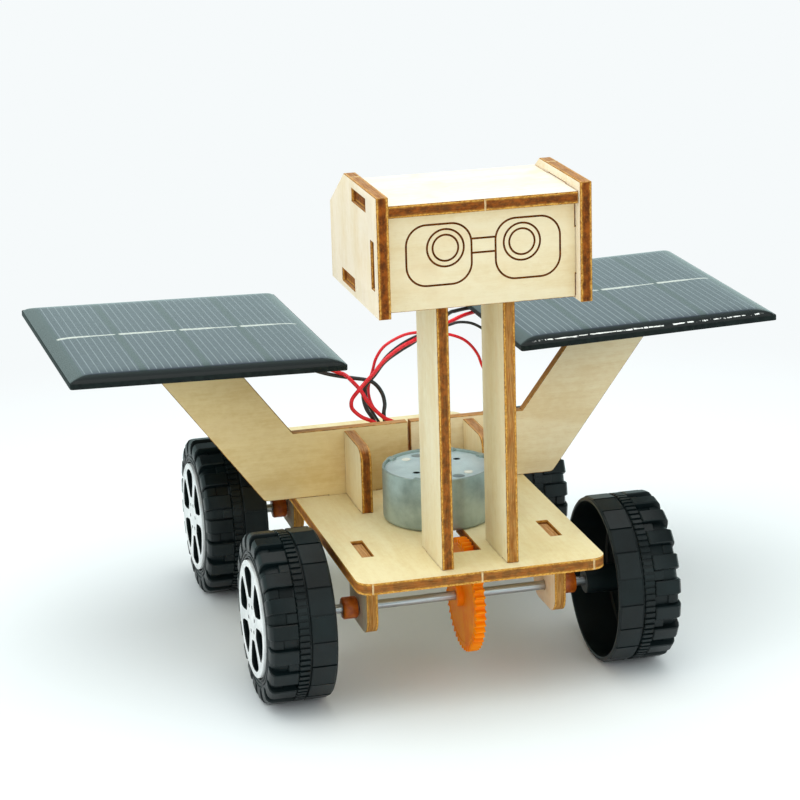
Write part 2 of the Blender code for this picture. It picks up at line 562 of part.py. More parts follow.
# the row's frame is centred on the whole kit and stands on the wheels' lugs
for piece in PARTS.objects:
    if piece.parent is None:
        piece.location += Vector((0, ROW_Y, ROW_Z)) * MM
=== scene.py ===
import json
import math
import random

import bmesh
import bpy
from mathutils import Matrix, Vector

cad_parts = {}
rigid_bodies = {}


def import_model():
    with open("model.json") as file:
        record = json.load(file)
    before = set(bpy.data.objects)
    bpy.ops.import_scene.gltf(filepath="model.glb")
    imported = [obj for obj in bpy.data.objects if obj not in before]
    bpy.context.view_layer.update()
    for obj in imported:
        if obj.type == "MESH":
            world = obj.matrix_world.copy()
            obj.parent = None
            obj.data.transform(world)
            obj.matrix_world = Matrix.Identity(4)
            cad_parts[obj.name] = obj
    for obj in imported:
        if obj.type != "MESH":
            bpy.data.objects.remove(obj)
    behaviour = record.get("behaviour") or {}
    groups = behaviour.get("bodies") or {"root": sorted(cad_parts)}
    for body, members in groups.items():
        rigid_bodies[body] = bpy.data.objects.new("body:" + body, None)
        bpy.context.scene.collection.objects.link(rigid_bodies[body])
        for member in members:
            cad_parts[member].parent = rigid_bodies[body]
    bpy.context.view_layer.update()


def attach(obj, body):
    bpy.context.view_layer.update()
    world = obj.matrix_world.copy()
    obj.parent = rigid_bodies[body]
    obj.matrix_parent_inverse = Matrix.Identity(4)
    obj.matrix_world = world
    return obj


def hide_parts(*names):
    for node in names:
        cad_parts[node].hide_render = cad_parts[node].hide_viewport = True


for old in list(bpy.data.objects):
    bpy.data.objects.remove(old, do_unlink=True)

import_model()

MM = 0.001
OFF = Vector((0, 2.7, 0.06))     # the plan's numbers are taken from the middle of the deck; the row's frame is here
T = 2.5                          # plywood
rng = random.Random(7)

scene = bpy.context.scene
scene.view_settings.view_transform = "Standard"
scene.view_settings.look = "None"


# =============================================================== node helpers
class Graph:
    """A short way to write a material's nodes."""

    def __init__(self, name):
        self.m = bpy.data.materials.new(name)
        self.m.use_nodes = True
        self.t = self.m.node_tree
        self.bsdf = self.t.nodes["Principled BSDF"]
        self.coord = None

    def node(self, kind, **props):
        n = self.t.nodes.new(kind)
        for k, v in props.items():
            setattr(n, k, v)
        return n

    def link(self, a, b):
        self.t.links.new(a, b)

    def put(self, value, socket):
        if isinstance(value, (int, float)):
            socket.default_value = value
        elif isinstance(value, (tuple, list)):
            v = tuple(value)
            socket.default_value = (*v, 1.0) if len(v) == 3 and len(socket.default_value) == 4 else v
        else:
            self.link(value, socket)

    def mm(self, scale=(1, 1, 1), turn=0.0, shift=(0, 0, 0)):
        """The piece's own coordinates in millimetres, turned about its flat side's normal, shifted, then scaled."""
        if self.coord is None:
            self.coord = self.node("ShaderNodeTexCoord").outputs["Object"]
        a = self.node("ShaderNodeMapping")
        self.link(self.coord, a.inputs["Vector"])
        a.inputs["Scale"].default_value = (1000, 1000, 1000)
        a.inputs["Rotation"].default_value = (0, 0, turn)
        a.inputs["Location"].default_value = shift
        b = self.node("ShaderNodeMapping")
        self.link(a.outputs[0], b.inputs["Vector"])
        b.inputs["Scale"].default_value = scale
        return b.outputs[0]

    def noise(self, vec, scale=1.0, detail=3.0, rough=0.55, distort=0.0):
        n = self.node("ShaderNodeTexNoise")
        self.link(vec, n.inputs["Vector"])
        n.inputs["Scale"].default_value = scale
        n.inputs["Detail"].default_value = detail
        n.inputs["Roughness"].default_value = rough
        n.inputs["Distortion"].default_value = distort
        return n.outputs["Fac"]

    def math(self, op, a, b=0.0, c=None, clamp=False):
        n = self.node("ShaderNodeMath", operation=op, use_clamp=clamp)
        self.put(a, n.inputs[0])
        self.put(b, n.inputs[1])
        if c is not None:
            self.put(c, n.inputs[2])
        return n.outputs[0]

    def span(self, v, lo, hi, out_lo=0.0, out_hi=1.0, smooth=True):
        n = self.node("ShaderNodeMapRange", interpolation_type="SMOOTHSTEP" if smooth else "LINEAR")
        self.put(v, n.inputs["Value"])
        n.inputs["From Min"].default_value = lo
        n.inputs["From Max"].default_value = hi
        n.inputs["To Min"].default_value = out_lo
        n.inputs["To Max"].default_value = out_hi
        return n.outputs[0]

    def mix(self, fac, a, b, how="MIX"):
        n = self.node("ShaderNodeMix", data_type="RGBA", blend_type=how)
        self.put(fac, n.inputs[0])
        self.put(a, n.inputs[6])
        self.put(b, n.inputs[7])
        return n.outputs[2]

    def xyz(self, vec):
        n = self.node("ShaderNodeSeparateXYZ")
        self.link(vec, n.inputs[0])
        return n.outputs

    def bump(self, height, strength=0.3, distance=0.1):
        n = self.node("ShaderNodeBump")
        self.put(height, n.inputs["Height"])
        n.inputs["Strength"].default_value = strength
        n.inputs["Distance"].default_value = distance * MM
        self.link(n.outputs[0], self.bsdf.inputs["Normal"])

    def set(self, **kw):
        names = {"color": "Base Color", "rough": "Roughness", "metal": "Metallic", "coat": "Coat Weight", "coat_rough": "Coat Roughness",
                 "spec": "Specular IOR Level", "sss": "Subsurface Weight", "ior": "IOR", "aniso": "Anisotropic"}
        for k, v in kw.items():
            self.put(v, self.bsdf.inputs[names[k]])
        return self.m


def lin(r, g, b):
    """An sRGB colour, 0 to 255, as the linear numbers nodes use."""
    return tuple((c / 255 / 12.92) if c / 255 <= 0.04045 else ((c / 255 + 0.055) / 1.055) ** 2.4 for c in (r, g, b))


# =============================================================== plywood
def ply_face(name, turn, seed, light=(250, 236, 206), dark=(240, 220, 180)):
    g = Graph(name + "_face")
    rs = random.Random(seed)
    shift = (rs.uniform(-300, 300), rs.uniform(-300, 300), rs.uniform(-50, 50))
    broad = g.noise(g.mm((0.022, 0.13, 0.13), turn, shift), 1.0, 3, 0.5, 0.4)
    streak = g.noise(g.mm((0.06, 0.75, 0.75), turn, shift), 1.0, 3, 0.55, 0.3)
    fine = g.noise(g.mm((0.30, 4.0, 4.0), turn, shift), 1.0, 3, 0.6)
    pores = g.noise(g.mm((0.75, 6.5, 6.5), turn, shift), 1.0, 1, 0.5)
    blot = g.noise(g.mm((0.09, 0.12, 0.12), turn, shift), 1.0, 3, 0.55)
    mottle = g.noise(g.mm((0.55, 0.8, 0.8), turn, shift), 1.0, 3, 0.6)
    mixv = g.math("ADD", g.math("MULTIPLY", g.span(broad, 0.3, 0.72), 0.45), g.math("MULTIPLY", g.span(streak, 0.3, 0.72), 0.20))
    mixv = g.math("ADD", mixv, g.math("MULTIPLY", g.span(fine, 0.3, 0.7), 0.14))
    mixv = g.math("ADD", mixv, g.math("MULTIPLY", g.span(mottle, 0.3, 0.7), 0.22))
    col = g.mix(g.span(mixv, 0.15, 0.95), lin(*light), lin(*dark))
    col = g.mix(g.math("MULTIPLY", g.span(blot, 0.50, 0.75), 0.30), col, lin(232, 206, 158))
    col = g.mix(g.math("MULTIPLY", g.span(pores, 0.66, 0.78), 0.20), col, lin(190, 152, 102))
    # smoke haze from the laser, in soft patches
    haze = g.noise(g.mm((0.11, 0.11, 0.11), turn, (shift[1], shift[0], 5)), 1.0, 2, 0.5)
    col = g.mix(g.math("MULTIPLY", g.span(haze, 0.58, 0.80), 0.18), col, lin(196, 156, 100))
    g.bump(g.math("ADD", fine, g.math("MULTIPLY", streak, 0.6)), 0.12, 0.05)
    rough = g.math("ADD", 0.55, g.math("MULTIPLY", fine, 0.22))
    return g.set(color=col, rough=rough, spec=0.2)


def ply_edge(name, seed, burn=0.5):
    """Three plies seen on the cut: golden outer ones, and a core that the laser leaves tan or nearly black."""
    g = Graph(name + "_edge")
    rs = random.Random(seed + 91)
    shift = (rs.uniform(-90, 90), rs.uniform(-90, 90), 0)
    p = g.mm((1, 1, 1), 0, (0, 0, 0))
    z = g.xyz(p)[2]
    wob = g.noise(g.mm((0.55, 0.55, 0.2), 0, shift), 1.0, 3, 0.6)
    zz = g.math("ABSOLUTE", g.math("ADD", z, g.math("MULTIPLY", g.math("SUBTRACT", wob, 0.5), 0.55)))
    core = g.span(zz, 0.98, 0.56)
    streak = g.noise(g.mm((0.22, 0.22, 5.5), 0, shift), 1.0, 4, 0.6, 0.5)
    blotch = g.noise(g.mm((0.55, 0.55, 0.8), 0, (shift[1], shift[0], 3)), 1.0, 3, 0.65)
    grainy = g.noise(g.mm((2.2, 2.2, 4.0), 0, shift), 1.0, 2, 0.6)
    tan = g.mix(g.span(streak, 0.3, 0.7), lin(226, 176, 100), lin(166, 108, 48))
    dark = g.mix(g.span(blotch, 0.30, 0.68), lin(148, 74, 13), lin(78, 32, 4))
    dark = g.mix(g.math("MULTIPLY", g.span(grainy, 0.55, 0.8), 0.5), dark, lin(184, 104, 30))
    corecol = g.mix(min(1.0, burn), tan, dark)
    outer = g.mix(g.span(grainy, 0.3, 0.72), lin(230, 178, 88), lin(178, 116, 36))
    outer = g.mix(g.math("MULTIPLY", g.span(blotch, 0.45, 0.8), 0.35 + 0.3 * burn), outer, lin(122, 72, 26))
    col = g.mix(core, outer, corecol)
    # thin glue lines between the plies
    line = g.math("SUBTRACT", 1.0, g.span(g.math("ABSOLUTE", g.math("SUBTRACT", zz, 0.78)), 0.0, 0.10))
    col = g.mix(g.math("MULTIPLY", line, 0.5), col, lin(96, 46, 10))
    # painted light: cut sides that face up are mixed towards a paler tan, a painted highlight from the strong light
    # above, not a change in the wood
    up = g.span(g.xyz(g.node("ShaderNodeNewGeometry").outputs["Normal"])[2], 0.6, 0.95)
    col = g.mix(g.math("MULTIPLY", up, 0.55), col, g.mix(g.span(streak, 0.35, 0.65), lin(222, 180, 132), lin(176, 124, 76)))
    g.bump(g.math("ADD", streak, grainy), 0.35, 0.10)
    return g.set(color=col, rough=g.math("ADD", 0.6, g.math("MULTIPLY", streak, 0.25)), spec=0.12)


def ply_arris(name, seed, deep=False):
    """The thin scorched line where a face meets a cut."""
    g = Graph(name + "_arris")
    n = g.noise(g.mm((1.3, 1.3, 1.3), 0, (seed * 3.1, 0, 0)), 1.0, 3, 0.6)
    a, b = ((146, 96, 40), (78, 42, 14)) if deep else ((196, 144, 72), (104, 60, 24))
    return g.set(color=g.mix(g.span(n, 0.35, 0.68), lin(*a), lin(*b)), rough=0.7, spec=0.1)


def raw_wood():
    g = Graph("raw_wood")
    n = g.noise(g.mm((4, 4, 1.0)), 1.0, 3, 0.6)
    return g.set(color=g.mix(g.span(n, 0.3, 0.7), lin(226, 202, 156), lin(190, 150, 96)), rough=0.7, spec=0.1)


RAW = raw_wood()


def burnt():
    g = Graph("engraved_line")
    n = g.noise(g.mm((1.6, 1.6, 1.6)), 1.0, 3, 0.6)
    return g.set(color=g.mix(g.span(n, 0.3, 0.72), lin(124, 68, 20), lin(70, 34, 8)), rough=0.8, spec=0.05)


BURNT = burnt()


# =============================================================== mesh helpers
def new_object(name, mesh, mats=()):
    o = bpy.data.objects.new(name, mesh)
    scene.collection.objects.link(o)
    for m in mats:
        mesh.materials.append(m)
    return o


def evaluated(o):
    """Applies all modifiers, in place."""
    bpy.context.view_layer.update()
    dg = bpy.context.evaluated_depsgraph_get()
    mesh = bpy.data.meshes.new_from_object(o.evaluated_get(dg), preserve_all_data_layers=True, depsgraph=dg)
    if o.type == "MESH":
        o.modifiers.clear()
        o.data = mesh
        return o
    n = bpy.data.objects.new(o.name, mesh)
    scene.collection.objects.link(n)
    n.matrix_world = o.matrix_world.copy()
    keep = o.name
    bpy.data.objects.remove(o, do_unlink=True)
    n.name = keep
    return n


def smooth(o, degrees=35):
    for p in o.data.polygons:
        p.use_smooth = True
    o.data.set_sharp_from_angle(angle=math.radians(degrees))
    return o


def fix_normals(mesh, merge=0.0000005):
    bm = bmesh.new()
    bm.from_mesh(mesh)
    bmesh.ops.remove_doubles(bm, verts=bm.verts, dist=merge)
    bmesh.ops.recalc_face_normals(bm, faces=bm.faces)
    bm.to_mesh(mesh)
    bm.free()


def rounded(points, n=6):
    out = []
    count = len(points)
    for i, (x, y, r) in enumerate(points):
        p = Vector((x, y))
        if r <= 0:
            out.append(p)
            continue
        a = (Vector(points[i - 1][:2]) - p).normalized()
        b = (Vector(points[(i + 1) % count][:2]) - p).normalized()
        half = a.angle(b) / 2
        d = r / math.tan(half)
        c = p + (a + b).normalized() * (r / math.sin(half))
        s, e = p + a * d - c, p + b * d - c
        turn = s.angle_signed(e)
        for k in range(n + 1):
            t = -turn * k / n
            out.append(c + Vector((s.x * math.cos(t) - s.y * math.sin(t), s.x * math.sin(t) + s.y * math.cos(t))))
    return [(v.x, v.y) for v in out]


def circle(cx, cy, r, n=32, start=0.0):
    return [(cx + r * math.cos(start + 2 * math.pi * i / n), cy + r * math.sin(start + 2 * math.pi * i / n)) for i in range(n)]


def rect(x0, x1, y0, y1):
    return [(x0, y0), (x1, y0), (x1, y1), (x0, y1)]


PLANES = {"XY": (0, 0, 0), "XZ": (math.pi / 2, 0, 0), "YZ": (math.pi / 2, 0, math.pi / 2)}


def sheet(name, outline, holes, thick, mats, bevel=0.13, segments=2, at=(0, 0, 0), plane="XY", offset=True):
    """A flat piece cut from sheet: slot 0 on its faces, 1 on its cut sides, 2 on its rounded corners."""
    if not holes:
        h = thick / 2
        v, f = prism(outline, -h, h, lambda q, t: (q[0] * MM, q[1] * MM, t * MM))
        mesh = bpy.data.meshes.new(name)
        mesh.from_pydata(v, [], f)
        fix_normals(mesh)
        return finish_sheet(new_object(name, mesh), name, thick, mats, bevel, segments, at, plane, offset)
    cu = bpy.data.curves.new(name, "CURVE")
    cu.dimensions = "2D"
    cu.fill_mode = "BOTH"
    cu.extrude = thick / 2 * MM
    for ring in [outline, *holes]:
        sp = cu.splines.new("POLY")
        sp.points.add(len(ring) - 1)
        for q, (x, y) in zip(sp.points, ring):
            q.co = (x * MM, y * MM, 0, 1)
        sp.use_cyclic_u = True
    o = bpy.data.objects.new(name, cu)
    scene.collection.objects.link(o)
    o = evaluated(o)
    fix_normals(o.data)
    return finish_sheet(o, name, thick, mats, bevel, segments, at, plane, offset)


def finish_sheet(o, name, thick, mats, bevel, segments, at, plane, offset):
    o.data.materials.clear()
    for m in mats:
        o.data.materials.append(m)
    bm = bmesh.new()
    bm.from_mesh(o.data)
    bmesh.ops.dissolve_degenerate(bm, dist=0.0000005, edges=bm.edges)
    bmesh.ops.dissolve_limit(bm, angle_limit=math.radians(0.5), verts=bm.verts, edges=bm.edges)
    flat = {}
    for f in bm.faces:
        zs = [v.co.z for v in f.verts]
        flat[f] = max(zs) - min(zs) < thick / 4 * MM
        f.material_index = 0 if flat[f] else min(1, len(mats) - 1)
    # only true corners are eased: where a face meets a cut side, and where two cut sides turn sharply
    weight = bm.edges.layers.float.new("bevel_weight_edge")
    for e in bm.edges:
        if len(e.link_faces) != 2:
            continue
        a, b = e.link_faces
        if flat[a] != flat[b]:
            e[weight] = 1.0
        elif not flat[a] and e.calc_face_angle(0.0) > math.radians(50):
            e[weight] = 1.0
    bm.to_mesh(o.data)
    bm.free()
    if bevel:
        b = o.modifiers.new("bevel", "BEVEL")
        b.width = bevel * MM
        b.segments = segments
        b.limit_method = "WEIGHT"
        b.material = min(2, len(mats) - 1)
        b.harden_normals = False
        o = evaluated(o)
    smooth(o, 32)
    o.rotation_euler = PLANES[plane]
    o.location = (Vector(at) + (OFF if offset else Vector((0, 0, 0)))) * MM
    return o


def lathe(profile, steps, closed=True, axis="X"):
    """Mesh data (verts, faces) of a profile of (along, radius) points in millimetres turned about an axis."""
    verts, faces = [], []
    n = len(profile)
    for i in range(steps):
        a = 2 * math.pi * i / steps
        c, s = math.cos(a), math.sin(a)
        for h, r in profile:
            if axis == "X":
                verts.append((h * MM, r * c * MM, r * s * MM))
            else:
                verts.append((r * c * MM, r * s * MM, h * MM))
    for i in range(steps):
        k = (i + 1) % steps
        for j in range(n if closed else n - 1):
            m = (j + 1) % n
            faces.append((i * n + j, k * n + j, k * n + m, i * n + m))
    return verts, faces


def mesh_from(name, parts, mats):
    """One mesh from several (verts, faces, material index) lists."""
    verts, faces, idx = [], [], []
    for v, f, m in parts:
        base = len(verts)
        verts += v
        faces += [tuple(base + i for i in q) for q in f]
        idx += [m] * len(f)
    mesh = bpy.data.meshes.new(name)
    mesh.from_pydata(verts, [], faces)
    for p, m in zip(mesh.polygons, idx):
        p.material_index = m
    for m in mats:
        mesh.materials.append(m)
    mesh.update()
    bm = bmesh.new()
    bm.from_mesh(mesh)
    bmesh.ops.remove_doubles(bm, verts=bm.verts, dist=0.0000005)
    bmesh.ops.recalc_face_normals(bm, faces=bm.faces)
    bm.to_mesh(mesh)
    bm.free()
    return mesh


def prism(side, t0, t1, place):
    """A bar: polygon side, swept from t0 to t1, each point mapped by place((a, b), t)."""
    n = len(side)
    verts = [place(q, t0) for q in side] + [place(q, t1) for q in side]
    faces = [tuple(range(n)), tuple(range(2 * n - 1, n - 1, -1))]
    faces += [(k, n + k, n + (k + 1) % n, (k + 1) % n) for k in range(n)]
    return verts, faces


def finish_piece(o, body, slot, *nodes):
    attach(o, body)
    if nodes:
        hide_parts(*nodes)
    return o


def join(objects, name):
    """Joins objects into the first one, in code."""
    target = objects[0]
    bpy.context.view_layer.update()
    bm = bmesh.new()
    bm.from_mesh(target.data)
    inv = target.matrix_world.inverted()
    mats = list(target.data.materials)
    for o in objects[1:]:
        tmp = o.data.copy()
        tmp.transform(inv @ o.matrix_world)
        remap = []
        for m in o.data.materials:
            if m not in mats:
                mats.append(m)
            remap.append(mats.index(m))
        for p in tmp.polygons:
            p.material_index = remap[p.material_index] if remap else 0
        bm.from_mesh(tmp)
        bpy.data.objects.remove(o, do_unlink=True)
    for m in mats[len(target.data.materials):]:
        target.data.materials.append(m)
    bm.to_mesh(target.data)
    bm.free()
    target.name = name
    smooth(target, 32)
    return target


# =============================================================== plywood pieces
GAP, SHORT, S = 0.15, 0.8, 0.1
DECK_W, DECK_L, DECK_TOP = 53.6, 115.2, 31.2
AXLE_Y, AXLE_Z = 35.8, 18.3
BRACKET_X = 19.6
POST_X = 5.78
HEAD_X = 22.2
FACE_Y = -60.0
TOP_Z, BOT_Z = 108.35, 89.5
tab_y = (-51.0, -42.0)
wing_tab = (8.0, 19.2)
brace_tab = (-10.5, -2.5)
MX, MY = 0.6, -19.5


def ply(name, node, outline, holes, at, plane, grain, burn, seed, nicks=(), **tone):
    turn = 0.0 if grain == "x" else math.pi / 2
    mats = [ply_face(name, turn, seed, **tone), ply_edge(name, seed, burn), ply_arris(name, seed, node == "deck")]
    o = sheet(name, outline, holes, T, mats, at=at, plane=plane)
    if nicks:
        parts = []
        for x, y, ang in nicks:
            # a sliver of clean wood where the piece was snapped out of its sheet
            dx, dy = math.cos(ang), math.sin(ang)
            tx, ty = -dy, dx
            pts = [(-0.24, -0.25), (0.24, -0.25), (0.17, 0.09), (-0.05, 0.13), (-0.20, 0.06)]
            v, f = prism(pts, -1.16, 1.14, lambda q, t: ((x + tx * q[0] + dx * q[1]) * MM, (y + ty * q[0] + dy * q[1]) * MM, t * MM))
            parts.append((v, f, 0))
        nick = new_object(name + "_nick", mesh_from(name + "_nick", parts, [RAW]))
        nick.matrix_world = o.matrix_basis.copy()
        o = join([o, nick], name)
    return finish_piece(o, "chassis", "plywood", node)


HW, HL = DECK_W / 2, DECK_L / 2
holes = [circle(-9.6, 53.8, 1.0, 24)]
wr = 5.6
a0 = math.asin((3.1 - MX) / wr)
a1 = math.asin((3.1 + MX) / wr)
arc = []
for k in range(33):
    a = -math.pi / 2 + a0 + (2 * math.pi - a0 - a1) * k / 32
    arc.append((MX + wr * math.cos(a), MY + wr * math.sin(a)))
holes.append([(-3.1, -44.45), (3.1, -44.45)] + arc)
for sx in (-1, 1):
    for sy in (-1, 1):
        x0, x1 = sorted((sx * (BRACKET_X - S), sx * (BRACKET_X + T + S)))
        holes.append(rect(x0, x1, sy * AXLE_Y - 5.35 - S, sy * AXLE_Y + 5.35 + S))
    x0, x1 = sorted((sx * (POST_X - S), sx * (POST_X + T + S)))
    holes.append(rect(x0, x1, tab_y[0] - S, tab_y[1] + S))
    x0, x1 = sorted((sx * (wing_tab[0] - S), sx * (wing_tab[1] + S)))
    holes.append(rect(x0, x1, 2.3 - S, 2.3 + T + S))
    x0, x1 = sorted((sx * (12.66 - S), sx * (12.66 + T + S)))
    holes.append(rect(x0, x1, brace_tab[0] - S, brace_tab[1] + S))
ply("deck_plate", "deck", rounded([(-HW, -HL, 3.2), (HW, -HL, 3.2), (HW, HL, 3.2), (-HW, HL, 3.2)], 10), holes, (0, 0, DECK_TOP - T / 2), "XY", "y", 0.75, 11, light=(238, 225, 181), dark=(229, 210, 158),
    nicks=[(-23.9, -HL, -math.pi / 2), (-0.5, -HL, -math.pi / 2), (23.9, -HL, -math.pi / 2), (-20, HL, math.pi / 2), (18, HL, math.pi / 2)])

under = DECK_TOP - T - GAP
seed = 20
for sx, side in ((-1, "left"), (1, "right")):
    for sy, end in ((-1, "front"), (1, "rear")):
        outline = rounded([(-7.75, 14.1, 3.6), (7.75, 14.1, 3.6), (7.75, under, 0), (5.35, under, 0), (5.35, DECK_TOP - SHORT, 0), (-5.35, DECK_TOP - SHORT, 0), (-5.35, under, 0), (-7.75, under, 0)], 8)
        ply(f"bracket_{end}_{side}", f"axle_bracket_{end}_{side}", outline, [circle(0, AXLE_Z, 1.1, 32)], (sx * (BRACKET_X + T / 2), sy * AXLE_Y, 0), "YZ", "y", 0.35, seed)
        seed += 1

for sx, side in ((-1, "left"), (1, "right")):
    lo = DECK_TOP + 0.04
    outline = [(-54.7, lo), (tab_y[0], lo), (tab_y[0], DECK_TOP - T + SHORT), (tab_y[1], DECK_TOP - T + SHORT), (tab_y[1], lo), (-38.4, lo), (-38.4, 89.3), (tab_y[1], 89.3),
               (tab_y[1], BOT_Z + T - 0.4), (tab_y[0], BOT_Z + T - 0.4), (tab_y[0], 89.3), (-54.7, 89.3)]
    ply(f"post_{side}", f"neck_post_{side}", outline, [], (sx * (POST_X + T / 2), 0, 0), "YZ", "y", 0.85 if sx < 0 else 0.45, 30 + sx, nicks=[(-38.4, 60.0, 0.0)], light=(240, 231, 199), dark=(230, 215, 173))

inner = HEAD_X - T - GAP
top_tab, bot_tab, face_tab = (-54.1, -42.7), (-43.0, -32.2), (93.6, 103.2)
reach = HEAD_X - SHORT
for sx, side in ((-1, "left"), (1, "right")):
    outline = [(-63.0, 88.2), (-22.6, 88.2), (-22.6, 104.5), (-36.1, 112.8), (-63.0, 112.8)]
    slots = [rect(top_tab[0] - S, top_tab[1] + S, TOP_Z - S, TOP_Z + T + S), rect(bot_tab[0] - S, bot_tab[1] + S, BOT_Z - S, BOT_Z + T + S),
             rect(FACE_Y - S, FACE_Y + T + S, face_tab[0] - S, face_tab[1] + S)]
    ply(f"head_panel_{side}", f"head_side_{side}", outline, slots, (sx * (HEAD_X - T / 2), 0, 0), "YZ", "y", 0.95, 40 + sx, nicks=[(-41.0, 112.8, math.pi / 2), (-42.0, 88.2, -math.pi / 2)], light=(243, 230, 206), dark=(233, 216, 180))


def tabbed(x, y0, y1, t0, t1, out):
    return [(-x, y0), (x, y0), (x, t0), (out, t0), (out, t1), (x, t1), (x, y1), (-x, y1), (-x, t1), (-out, t1), (-out, t0), (-x, t0)]


ply("head_roof", "head_top_plate", tabbed(inner, -62.2, -33.0, *top_tab, reach), [], (0, 0, TOP_Z + T / 2), "XY", "x", 0.9, 51, nicks=[(0.3, -62.2, -math.pi / 2)], light=(246, 239, 227), dark=(241, 229, 208))
slots = []
for sx in (-1, 1):
    x0, x1 = sorted((sx * (POST_X - S), sx * (POST_X + T + S)))
    slots.append(rect(x0, x1, tab_y[0] - S, tab_y[1] + S))
ply("head_floor", "head_bottom_plate", tabbed(inner, FACE_Y + T + GAP, -24.0, *bot_tab, reach), slots, (0, 0, BOT_Z + T / 2), "XY", "x", 0.7, 52)


def ring_path(points, closed=True, r=0.23):
    """A round bar along flat points, as a cutter for an engraved line."""
    cu = bpy.data.curves.new("line", "CURVE")
    cu.dimensions = "3D"
    cu.bevel_depth = r * MM
    cu.bevel_resolution = 2
    cu.use_fill_caps = True
    sp = cu.splines.new("POLY")
    sp.points.add(len(points) - 1)
    for q, (x, y) in zip(sp.points, points):
        q.co = (x * MM, y * MM, 0, 1)
    sp.use_cyclic_u = closed
    o = bpy.data.objects.new("line", cu)
    scene.collection.objects.link(o)
    o = evaluated(o)
    fix_normals(o.data)
    o.data.materials.clear()
    o.data.materials.append(BURNT)
    return o


def face_plate():
    """The front plate, with a plain pair of round-eyed goggles engraved in it."""
    mats = [ply_face("head_face", 0.0, 53, light=(238, 225, 189), dark=(228, 209, 165)), ply_edge("head_face", 53, 0.8), ply_arris("head_face", 53)]
    o = sheet("head_face", tabbed(inner, 88.7, TOP_Z - GAP, *face_tab, reach), [], T, mats, at=(0, 0, 0), plane="XY", offset=False)
    o.rotation_euler = (0, 0, 0)
    lines = []
    for cx, x0, x1 in ((-7.5, -15.6, -2.1), (8.4, 2.9, 16.4)):
        cz = 101.1
        lines.append(ring_path(circle(cx, cz, 3.8, 72)))
        lines.append(ring_path(circle(cx, cz, 2.65, 60)))
        lines.append(ring_path(rounded([(x0, 93.6, 4.2), (x1, 93.6, 4.2), (x1, 106.0, 4.2), (x0, 106.0, 4.2)], 12)))
    for z in (102.5, 99.6):
        lines.append(ring_path([(-2.08, z), (2.88, z)], closed=False))
    for ln_ in lines:
        ln_.location = (0, 0, (T / 2 + 0.05) * MM)
        b = o.modifiers.new("engrave", "BOOLEAN")
        b.operation = "DIFFERENCE"
        b.solver = "MANIFOLD"
        b.material_mode = "TRANSFER"
        b.object = ln_
        o = evaluated(o)
        bpy.data.objects.remove(ln_, do_unlink=True)
    nick = new_object("head_face_nick", mesh_from("hn", [(*prism([(-0.24, -0.25), (0.24, -0.25), (0.18, 0.10), (-0.20, 0.12)], -1.16, 1.14, lambda q, t: ((0.3 + q[0]) * MM, (88.7 - q[1]) * MM, t * MM)), 0)], [RAW]))
    o = join([o, nick], "head_face")
    smooth(o, 32)
    o.rotation_euler = PLANES["XZ"]
    o.location = (Vector((0, FACE_Y + T / 2, 0)) + OFF) * MM
    return finish_piece(o, "chassis", "plywood", "head_front_plate")


face_plate()

lo = DECK_TOP + 0.04
# each panel's seat: middle x, y and the board's underside z, then tilt up outward and turn, in degrees
SEAT = {-1: (49.9, 13.1, 67.35, 1.8, 1.55), 1: (50.38, 16.2, 67.05, 1.38, 0.68)}
for sx, side in ((-1, "left"), (1, "right")):
    px, py, pz, tilt, yaw = SEAT[sx]
    arm_top, lean = pz - 1.0, math.tan(math.radians(tilt))
    xi, xo = 26.9 + (arm_top - 46.6) * 0.745, 33.9 + (arm_top - DECK_TOP) * 0.745
    zi, zo = arm_top + (xi - px) * lean, arm_top + (xo - px) * lean
    pts = [(4.5, lo), (wing_tab[0], lo), (wing_tab[0], DECK_TOP - T + SHORT), (wing_tab[1], DECK_TOP - T + SHORT), (wing_tab[1], lo), (33.9, lo), (xo, zo), (xi, zi), (26.9, 46.6), (0.3, 46.6), (0.3, 38.0), (3.0, 38.0), (4.5, 36.0)]
    pts = rounded([(x, z, 1.6 if abs(x - 33.9) < 0.01 else 0) for x, z in pts], 6)
    if sx < 0:
        pts = [(-x, z) for x, z in pts][::-1]
    # the left wing gets a darker, yellower tone than the right one: painted shade under its panel
    ply(f"wing_plate_{side}", f"wing_{side}", pts, [], (0, 2.3 + T / 2, 0), "XZ", "x", 0.45, 60 + sx, light=(236, 214, 159) if sx < 0 else (248, 234, 196), dark=(222, 194, 133) if sx < 0 else (234, 212, 164))
    outline = rounded([(-13.2, lo, 0), (brace_tab[0], lo, 0), (brace_tab[0], DECK_TOP - T + SHORT, 0), (brace_tab[1], DECK_TOP - T + SHORT, 0), (brace_tab[1], lo, 0), (2.26, lo, 0), (2.26, 46.0, 0), (-13.2, 46.0, 3.2)], 8)
    ply(f"brace_{side}", f"wing_brace_{side}", outline, [], (sx * (12.66 + T / 2), 0, 0), "YZ", "y", 0.9, 70 + sx, light=(238, 222, 178), dark=(228, 206, 154))


# =============================================================== plastics and metals
def black_plastic():
    g = Graph("wheel_plastic")
    big = g.noise(g.mm((0.12, 0.12, 0.12)), 1.0, 3, 0.6)
    fine = g.noise(g.mm((3.2, 3.2, 3.2)), 1.0, 3, 0.6)
    # scuff_and_sheen: pale blue-green streaks, partly real scuffs and partly a painted sheen of reflected light; the
    # blue-green cast of the base colours is painted reflection too
    scuff_and_sheen = g.noise(g.mm((0.9, 4.5, 0.9), 0.4), 1.0, 4, 0.7)
    col = g.mix(g.span(big, 0.3, 0.7), lin(5, 14, 15), lin(12, 25, 27))
    col = g.mix(g.math("MULTIPLY", g.span(scuff_and_sheen, 0.62, 0.82), 0.30), col, lin(58, 70, 70))
    g.bump(g.math("ADD", fine, g.math("MULTIPLY", big, 0.6)), 0.22, 0.05)
    return g.set(color=col, rough=g.math("ADD", 0.27, g.math("MULTIPLY", fine, 0.26)), spec=0.3)


